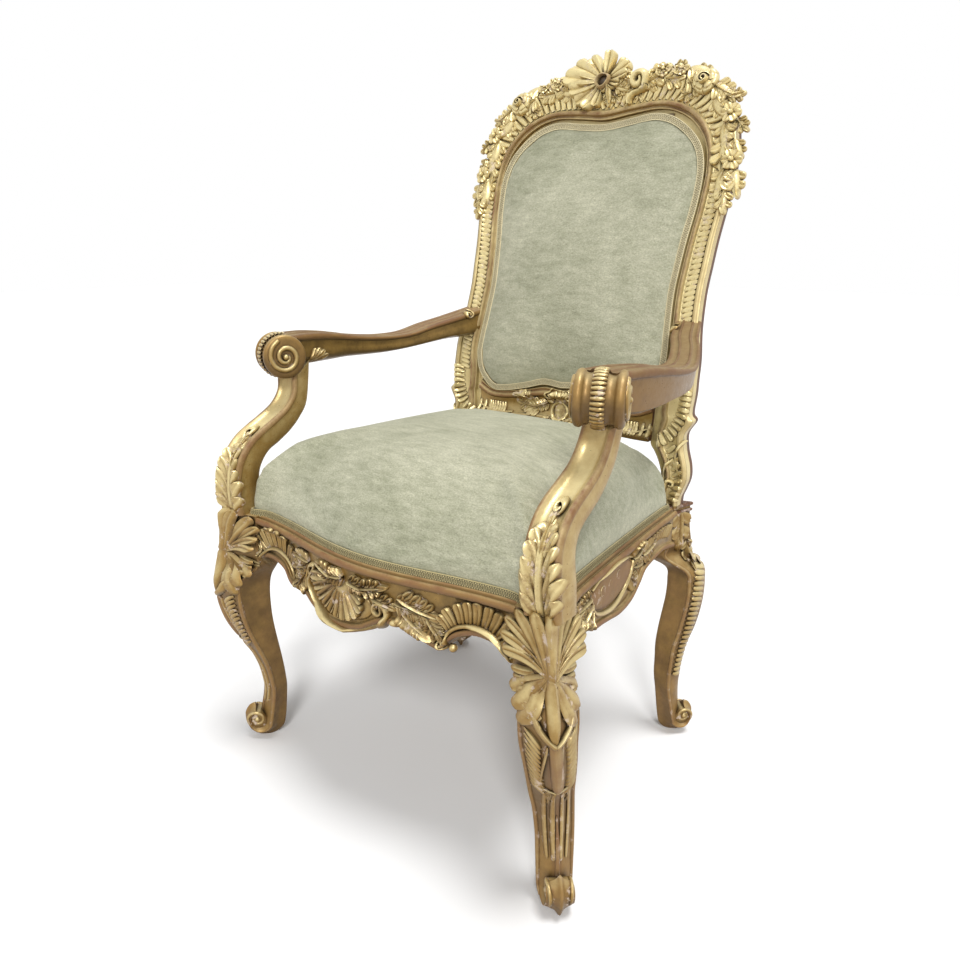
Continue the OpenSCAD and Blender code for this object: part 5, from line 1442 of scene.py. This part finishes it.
def seat_plan():
    """Edge of the seat, right half from the front, then the left"""
    joint, post = leg_joint(), post_joint()
    start, length = -joint[1], joint[1] + post[1]
    half = [(joint[0] * s, front_face(joint[0] * s) + GIMP_SET) for s in (0, 0.22, 0.43, 0.62, 0.82, 0.95)]
    half += [(joint[0] + LEG_BLOCK * a, -joint[1] - LEG_BLOCK * b) for a, b in SEAT_NOTCH]
    half += [(side_face(start + length * s) - GIMP_SET, start + length * s) for s in (0.13, 0.25, 0.4, 0.6,
                                                                                      0.8, 0.92)]
    rear = post[1] + POST_BLOCK / 2
    half += [(side_face(post[1]) - GIMP_SET, post[1] - POST_BLOCK * 0.12),
             (post[0] - POST_BLOCK * 0.1, post[1] - POST_BLOCK * 0.1), (post[0] - POST_BLOCK * 0.14, rear),
             (0, rear)]
    return half + [(-x, y) for x, y in reversed(half[1:-1])]


def back_plan():
    """Edge of the back panel as places across and heights, anticlockwise from the middle of the bottom"""
    half_width, total = mm(sizes().back_half), mm(sizes().total_height)
    half = [(r[0], r[1] - 0.009) for r in LOWER_RAIL[:5]] + [(LOWER_RAIL[5][0], LOWER_RAIL[5][1] - 0.003)]
    half += [(r[1] + 0.03, r[0]) for r in STILE[10:18]]
    half += [(CREST[i][0] + 0.03 * (1 - i / 7), CREST[i][1] + 0.001 * i) for i in range(1, 8)]
    half = [(half_width * a, total * b) for a, b in half]
    return half + [(-x, z) for x, z in reversed(half[1:-1])]


def dome(share, edge=0.56):
    return max(0.0, 1 - share ** 3.2) ** edge


def evaluated(piece):
    return piece.evaluated_get(bpy.context.evaluated_depsgraph_get())


def blown(bm, name, pinned, cap):
    """Let a stuffed shape swell as cloth, no point further than the cap, and keep the result"""
    mesh = bpy.data.meshes.new(name)
    bm.to_mesh(mesh)
    piece = bpy.data.objects.new(name, mesh)
    bpy.context.scene.collection.objects.link(piece)
    bpy.context.view_layer.objects.active = piece
    start = [v.co.copy() for v in mesh.vertices]
    group = piece.vertex_groups.new(name="held")
    group.add([i for i, co in enumerate(start) if pinned(co)], 1.0, "REPLACE")
    cloth = piece.modifiers.new("swell", "CLOTH")
    cloth.settings.use_pressure = True
    cloth.settings.uniform_pressure_force = SWELL_PRESSURE
    cloth.settings.vertex_group_mass = "held"
    cloth.settings.quality = 5
    cloth.settings.tension_stiffness = 18
    cloth.settings.effector_weights.gravity = 0
    cloth.collision_settings.use_collision = False
    cloth.point_cache.frame_start, cloth.point_cache.frame_end = 1, SWELL_STEPS
    for step in range(1, SWELL_STEPS + 1):
        bpy.context.scene.frame_set(step)
    swollen = evaluated(piece).to_mesh()
    ends = [v.co.copy() for v in swollen.vertices]
    evaluated(piece).to_mesh_clear()
    piece.modifiers.remove(cloth)
    piece.vertex_groups.clear()
    for vert, old, new in zip(mesh.vertices, start, ends):
        step = new - old
        vert.co = old + (step if step.length < cap else step.normalized() * cap)
    bpy.context.scene.frame_set(1)
    return piece


def upholster(bm, name, node_name, pinned, cap):
    """Remesh a stuffed form evenly, swell it and dress it in velvet"""
    bmesh.ops.recalc_face_normals(bm, faces=bm.faces)
    raw = bpy.data.meshes.new("raw_" + name)
    bm.to_mesh(raw)
    bm.free()
    form = bpy.data.objects.new("raw_" + name, raw)
    bpy.context.scene.collection.objects.link(form)
    remesh = form.modifiers.new("even", "REMESH")
    remesh.mode = "VOXEL"
    remesh.voxel_size = 0.006
    fine = bmesh.new()
    fine.from_mesh(evaluated(form).to_mesh())
    evaluated(form).to_mesh_clear()
    bpy.data.objects.remove(form)
    bpy.data.meshes.remove(raw)
    for _ in range(3):
        bmesh.ops.smooth_vert(fine, verts=fine.verts, factor=0.5, use_axis_x=True, use_axis_y=True,
                              use_axis_z=True)
    piece = blown(fine, name, pinned, cap)
    fine.free()
    mesh = piece.data
    mesh.polygons.foreach_set("use_smooth", [True] * len(mesh.polygons))
    mesh.materials.append(finish_for("sage_velvet"))
    soft = piece.modifiers.new("round", "SUBSURF")
    soft.levels = soft.render_levels = 1
    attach(piece, "root")
    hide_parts(node_name)


def panel_ring(share, level):
    """Edge of the back panel at a share of its size and a depth behind the face of the back"""
    middle = Vector((0, 0, PAD_MIDDLE))
    ring = []
    for x, z in back_plan():
        place = middle + (Vector((x, 0, z)) - middle) * share
        ring.append(Vector((place.x, back_face(place.z) + level, place.z)) * MM)
    return smooth_ring(ring, 3)


class CHAIR_OT_seat(bpy.types.Operator):
    """Sprung and stuffed seat"""
    bl_idname = "chair.seat"
    bl_label = "Seat"

    def execute(self, context):
        ledge = mm(sizes().seat_height) - BEAD_HEIGHT
        plan = [Vector((x, y, 0)) for x, y in seat_plan()]
        middle = Vector((0, SEAT_MIDDLE, 0))
        rings = [[(middle + (p - middle) * 0.99 + Vector((0, 0, ledge + 6.2))) * MM for p in plan]]
        for share in (1, 0.985, 0.955, 0.91, 0.84, 0.75, 0.63, 0.48, 0.3, 0.12, 0.03):
            ring = []
            high = Vector((0, 0, ledge + 16 + SEAT_CROWN * dome(share, 0.44)))
            for p in plan:
                # The plan grows round toward the crown, and the sides swell over the rail
                ray = p - middle
                place = ray * (1 - 0.45 * (1 - share)) + ray.normalized() * SEAT_ROUND * 0.45 * (1 - share)
                swell = sin(pi * min(1.0, (1 - share) / 0.28)) * min(1.0, abs(p.x) / 240) ** 3
                place += ray.normalized() * (SEAT_SWELL if p.y < 0 else REAR_SWELL) * swell
                ring.append((middle + place * share * 1.002 + high) * MM)
            rings.append(ring)
        bm = new_mesh()
        tube(bm, [smooth_ring(ring, 3) for ring in rings])
        low = (ledge + 22) * MM
        upholster(bm, "velvet_seat", "seat_cushion", lambda co: co.z < low, 0.005)
        return {"FINISHED"}


class CHAIR_OT_back_pad(bpy.types.Operator):
    """Stuffed back panel"""
    bl_idname = "chair.back_pad"
    bl_label = "Back panel"

    def execute(self, context):
        thick = mm(sizes().frame_depth) * 0.3
        rings = [panel_ring(share, thick - 2.2) for share in (0.03, 0.5, PAD_SHARE)]
        rings += [panel_ring(share * PAD_SHARE, thick * 0.72 - PAD_CROWN * dome(share))
                  for share in (1, 0.985, 0.95, 0.88, 0.75, 0.5, 0.2, 0.03)]
        bm = new_mesh()
        tube(bm, rings)

        def pinned(co):
            return co.y / MM > back_face(co.z / MM) + thick * 0.3

        upholster(bm, "velvet_back", "back_pad", pinned, 0.004)
        # Cloth on the outside of the back
        bm = new_mesh()
        behind = mm(sizes().frame_depth) + 0.4
        tube(bm, [panel_ring(share * 1.02, behind + 1.2 * depth)
                  for share, depth in ((0.03, 1), (0.6, 1), (1.0, 1), (1.0, 0), (0.6, 0), (0.03, 0))])
        keep(bm, "velvet_outside_back", ["sage_velvet"], ["outside_back_cover"])
        return {"FINISHED"}


def braid(bm, line, outs, width, thick):
    """Flat braid with a zigzag cord between two edge cords, along a closed line of points in metres"""
    count = len(line)
    ups = [ahead.cross(out).normalized() for ahead, out in zip(headings(line), outs)]
    profile = ((-1, 0), (-0.9, 0.7), (0, 1), (0.9, 0.7), (1, 0), (0, -0.2))
    half, tall = width / 2, thick * 0.45
    # The band's low rise paints it in the thread's painted shade; the cords below take full rise and stay
    # pale on their crowns
    hoop(bm, [[point + up * a * half + out * b * tall for a, b in profile]
              for point, up, out in zip(line, ups, outs)], 0.1)
    lengths = [0.0]
    for i in range(count):
        lengths.append(lengths[-1] + (line[(i + 1) % count] - line[i]).length)
    waves = max(8, round(lengths[-1] / (BRAID_PITCH * MM)))

    def cord(offset, radius, steps, high):
        """Cord at an offset across the braid that changes along it"""
        rings = []
        i = 0
        for k in range(steps):
            want = lengths[-1] * k / steps
            while lengths[i + 1] < want:
                i += 1
            t = (want - lengths[i]) / max(1e-9, lengths[i + 1] - lengths[i])
            j = (i + 1) % count
            up, out = ups[i].lerp(ups[j], t).normalized(), outs[i].lerp(outs[j], t).normalized()
            centre = line[i].lerp(line[j], t) + up * offset(want / lengths[-1]) + out * high
            rings.append(circle(centre, up, out, radius, 6))
        hoop(bm, rings, 1.0)

    for edge in (-0.46, 0.46):
        cord(lambda s: edge * width, thick * 0.26, waves * 2, thick * 0.5)
    for reach, high in ((0.34, 0.62), (-0.34, 0.56)):
        cord(lambda s: reach * width * sin(2 * pi * waves * s), thick * 0.28, waves * 6, thick * high)


class CHAIR_OT_braids(bpy.types.Operator):
    """Braid round the seat and the back"""
    bl_idname = "chair.braids"
    bl_label = "Braids"

    def execute(self, context):
        width = sizes().braid_width
        ledge = mm(sizes().seat_height) - BEAD_HEIGHT
        line = smooth_ring([Vector((x, y, ledge + 9.5)) * MM for x, y in seat_plan()], 8)
        up = Vector((0, 0, 1))
        outs = [(ahead.cross(up) + up * 0.35).normalized() for ahead in headings(line)]
        bm = new_mesh()
        braid(bm, [p + o * 0.0012 for p, o in zip(line, outs)], outs, width * SEAT_BRAID, 0.0032)
        keep(bm, "braid_seat", ["seat_braid"], ["seat_gimp"])
        line = smooth_ring([Vector((x, 0, z)) for x, z in back_plan()], 8)
        middle = Vector((0, 0, PAD_MIDDLE))
        thick = mm(sizes().frame_depth)
        for name, node_name, side, level, grow, share in (
                ("braid_back", "back_gimp", 1, thick * 0.12, -4.0, BACK_BRAID),
                ("braid_outside_back", "outside_back_gimp", -1, thick + 2, 4.0, 1)):
            shifted, outs = [], []
            for p, ahead in zip(line, headings(line)):
                away = ahead.cross(Vector((0, 1, 0)))
                if away.dot(p - middle) < 0:
                    away = -away
                q = p + away * grow
                shifted.append(Vector((q.x, back_face(q.z) + level, q.z)) * MM)
                lean = back_lean(q.z)
                outs.append(Vector((0, -cos(lean), sin(lean))) * side)
            bm = new_mesh()
            braid(bm, shifted, outs, width * share, 0.003)
            keep(bm, name, ["silk_braid"], [node_name])
        return {"FINISHED"}


class CHAIR_OT_hidden_parts(bpy.types.Operator):
    """Finishes of the parts of the construction that stay as they are"""
    bl_idname = "chair.hidden_parts"
    bl_label = "Hidden parts"

    def execute(self, context):
        choices = {
            "rear_rail": "stained_timber", "corner_block": "bare_beech", "corner_screws": "old_steel",
            "dowels": "bare_beech", "seat_webbing": "linen_web", "seat_hessian": "hessian",
            "back_webbing": "linen_web",
        }
        for name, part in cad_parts.items():
            for start, finish in choices.items():
                if name.startswith(start):
                    if not part.material_slots:
                        part.data.materials.append(None)
                    for slot in part.material_slots:
                        slot.material = finish_for(finish)
        return {"FINISHED"}


class CHAIR_OT_stage(bpy.types.Operator):
    """Floor, light and camera"""
    bl_idname = "chair.stage"
    bl_label = "Stage"

    def execute(self, context):
        scene = context.scene
        bm = bmesh.new()
        bmesh.ops.create_grid(bm, x_segments=1, y_segments=1, size=14.0)
        mesh = bpy.data.meshes.new("floor")
        bm.to_mesh(mesh)
        bm.free()
        floor = bpy.data.objects.new("floor", mesh)
        scene.collection.objects.link(floor)
        finish, tree, shader, where = start_finish("pale_floor")
        feed(tree, shader, {"Base Color": (0.95, 0.95, 0.95, 1.0), "Roughness": 0.75,
                            "Specular IOR Level": 0.2})
        mesh.materials.append(finish)
        world = bpy.data.worlds.new("studio")
        scene.world = world
        world.use_nodes = True
        tree = world.node_tree
        path = tree.nodes.new("ShaderNodeLightPath")
        mirrored = maths(tree, "MAXIMUM", path.outputs["Is Glossy Ray"], path.outputs["Is Transmission Ray"])
        seen = maths(tree, "MAXIMUM", path.outputs["Is Camera Ray"], mirrored)
        feed(tree, tree.nodes["Background"], {"Strength": plus(tree, times(tree, seen, 1 - WORLD_LIGHT),
                                                               WORLD_LIGHT), "Color": (1.0, 1.0, 1.0, 1.0)})
        for name, place, power, soft in (("key", (1.5, -2.0, 2.4), 1.5, 14.0),
                                         ("top", (0.6, 0.0, 3.4), 1.8, 20.0)):
            lamp = bpy.data.lights.new(name, "SUN")
            lamp.energy, lamp.angle = power, radians(soft)
            stand = bpy.data.objects.new(name, lamp)
            stand.location = place
            stand.rotation_euler = (Vector((0, 0, 0.55)) - Vector(place)).to_track_quat("-Z", "Y").to_euler()
            scene.collection.objects.link(stand)
        lens = bpy.data.cameras.new("view")
        lens.lens, lens.sensor_width = 29.33, 36.0
        lens.shift_x, lens.shift_y = 0.0277, 0.0568
        camera = bpy.data.objects.new("view", lens)
        camera.location = (0.7208, -0.9742, 0.8380)
        camera.rotation_euler = (radians(69.404), 0.0, radians(39.648))
        scene.collection.objects.link(camera)
        scene.camera = camera
        scene.view_settings.view_transform = "Standard"
        return {"FINISHED"}


OPERATORS = (
    CHAIR_OT_stage, CHAIR_OT_front_legs, CHAIR_OT_rear_posts, CHAIR_OT_crest, CHAIR_OT_crest_carving,
    CHAIR_OT_lower_back, CHAIR_OT_front_rail, CHAIR_OT_side_rails, CHAIR_OT_arms, CHAIR_OT_arm_supports,
    CHAIR_OT_seat, CHAIR_OT_back_pad, CHAIR_OT_braids, CHAIR_OT_hidden_parts,
)


class CHAIR_PT_sidebar(bpy.types.Panel):
    """Pieces of the armchair"""
    bl_idname = "CHAIR_PT_sidebar"
    bl_label = "Carved armchair"
    bl_space_type = "VIEW_3D"
    bl_region_type = "UI"
    bl_category = "Armchair"

    def draw(self, context):
        layout = self.layout
        for group in (context.scene.chair_sizes, context.scene.chair_colours):
            for name in group.__annotations__:
                layout.prop(group, name)
        for operator in OPERATORS:
            layout.operator(operator.bl_idname)


CLASSES = (ChairSizes, ChairColours) + OPERATORS + (CHAIR_PT_sidebar,)


def register():
    for item in CLASSES:
        bpy.utils.register_class(item)
    bpy.types.Scene.chair_sizes = PointerProperty(type=ChairSizes)
    bpy.types.Scene.chair_colours = PointerProperty(type=ChairColours)


def unregister():
    del bpy.types.Scene.chair_colours
    del bpy.types.Scene.chair_sizes
    for item in reversed(CLASSES):
        bpy.utils.unregister_class(item)


def main():
    register()
    for operator in OPERATORS:
        group, name = operator.bl_idname.split(".")
        getattr(getattr(bpy.ops, group), name)()


if __name__ == "__main__":
    main()
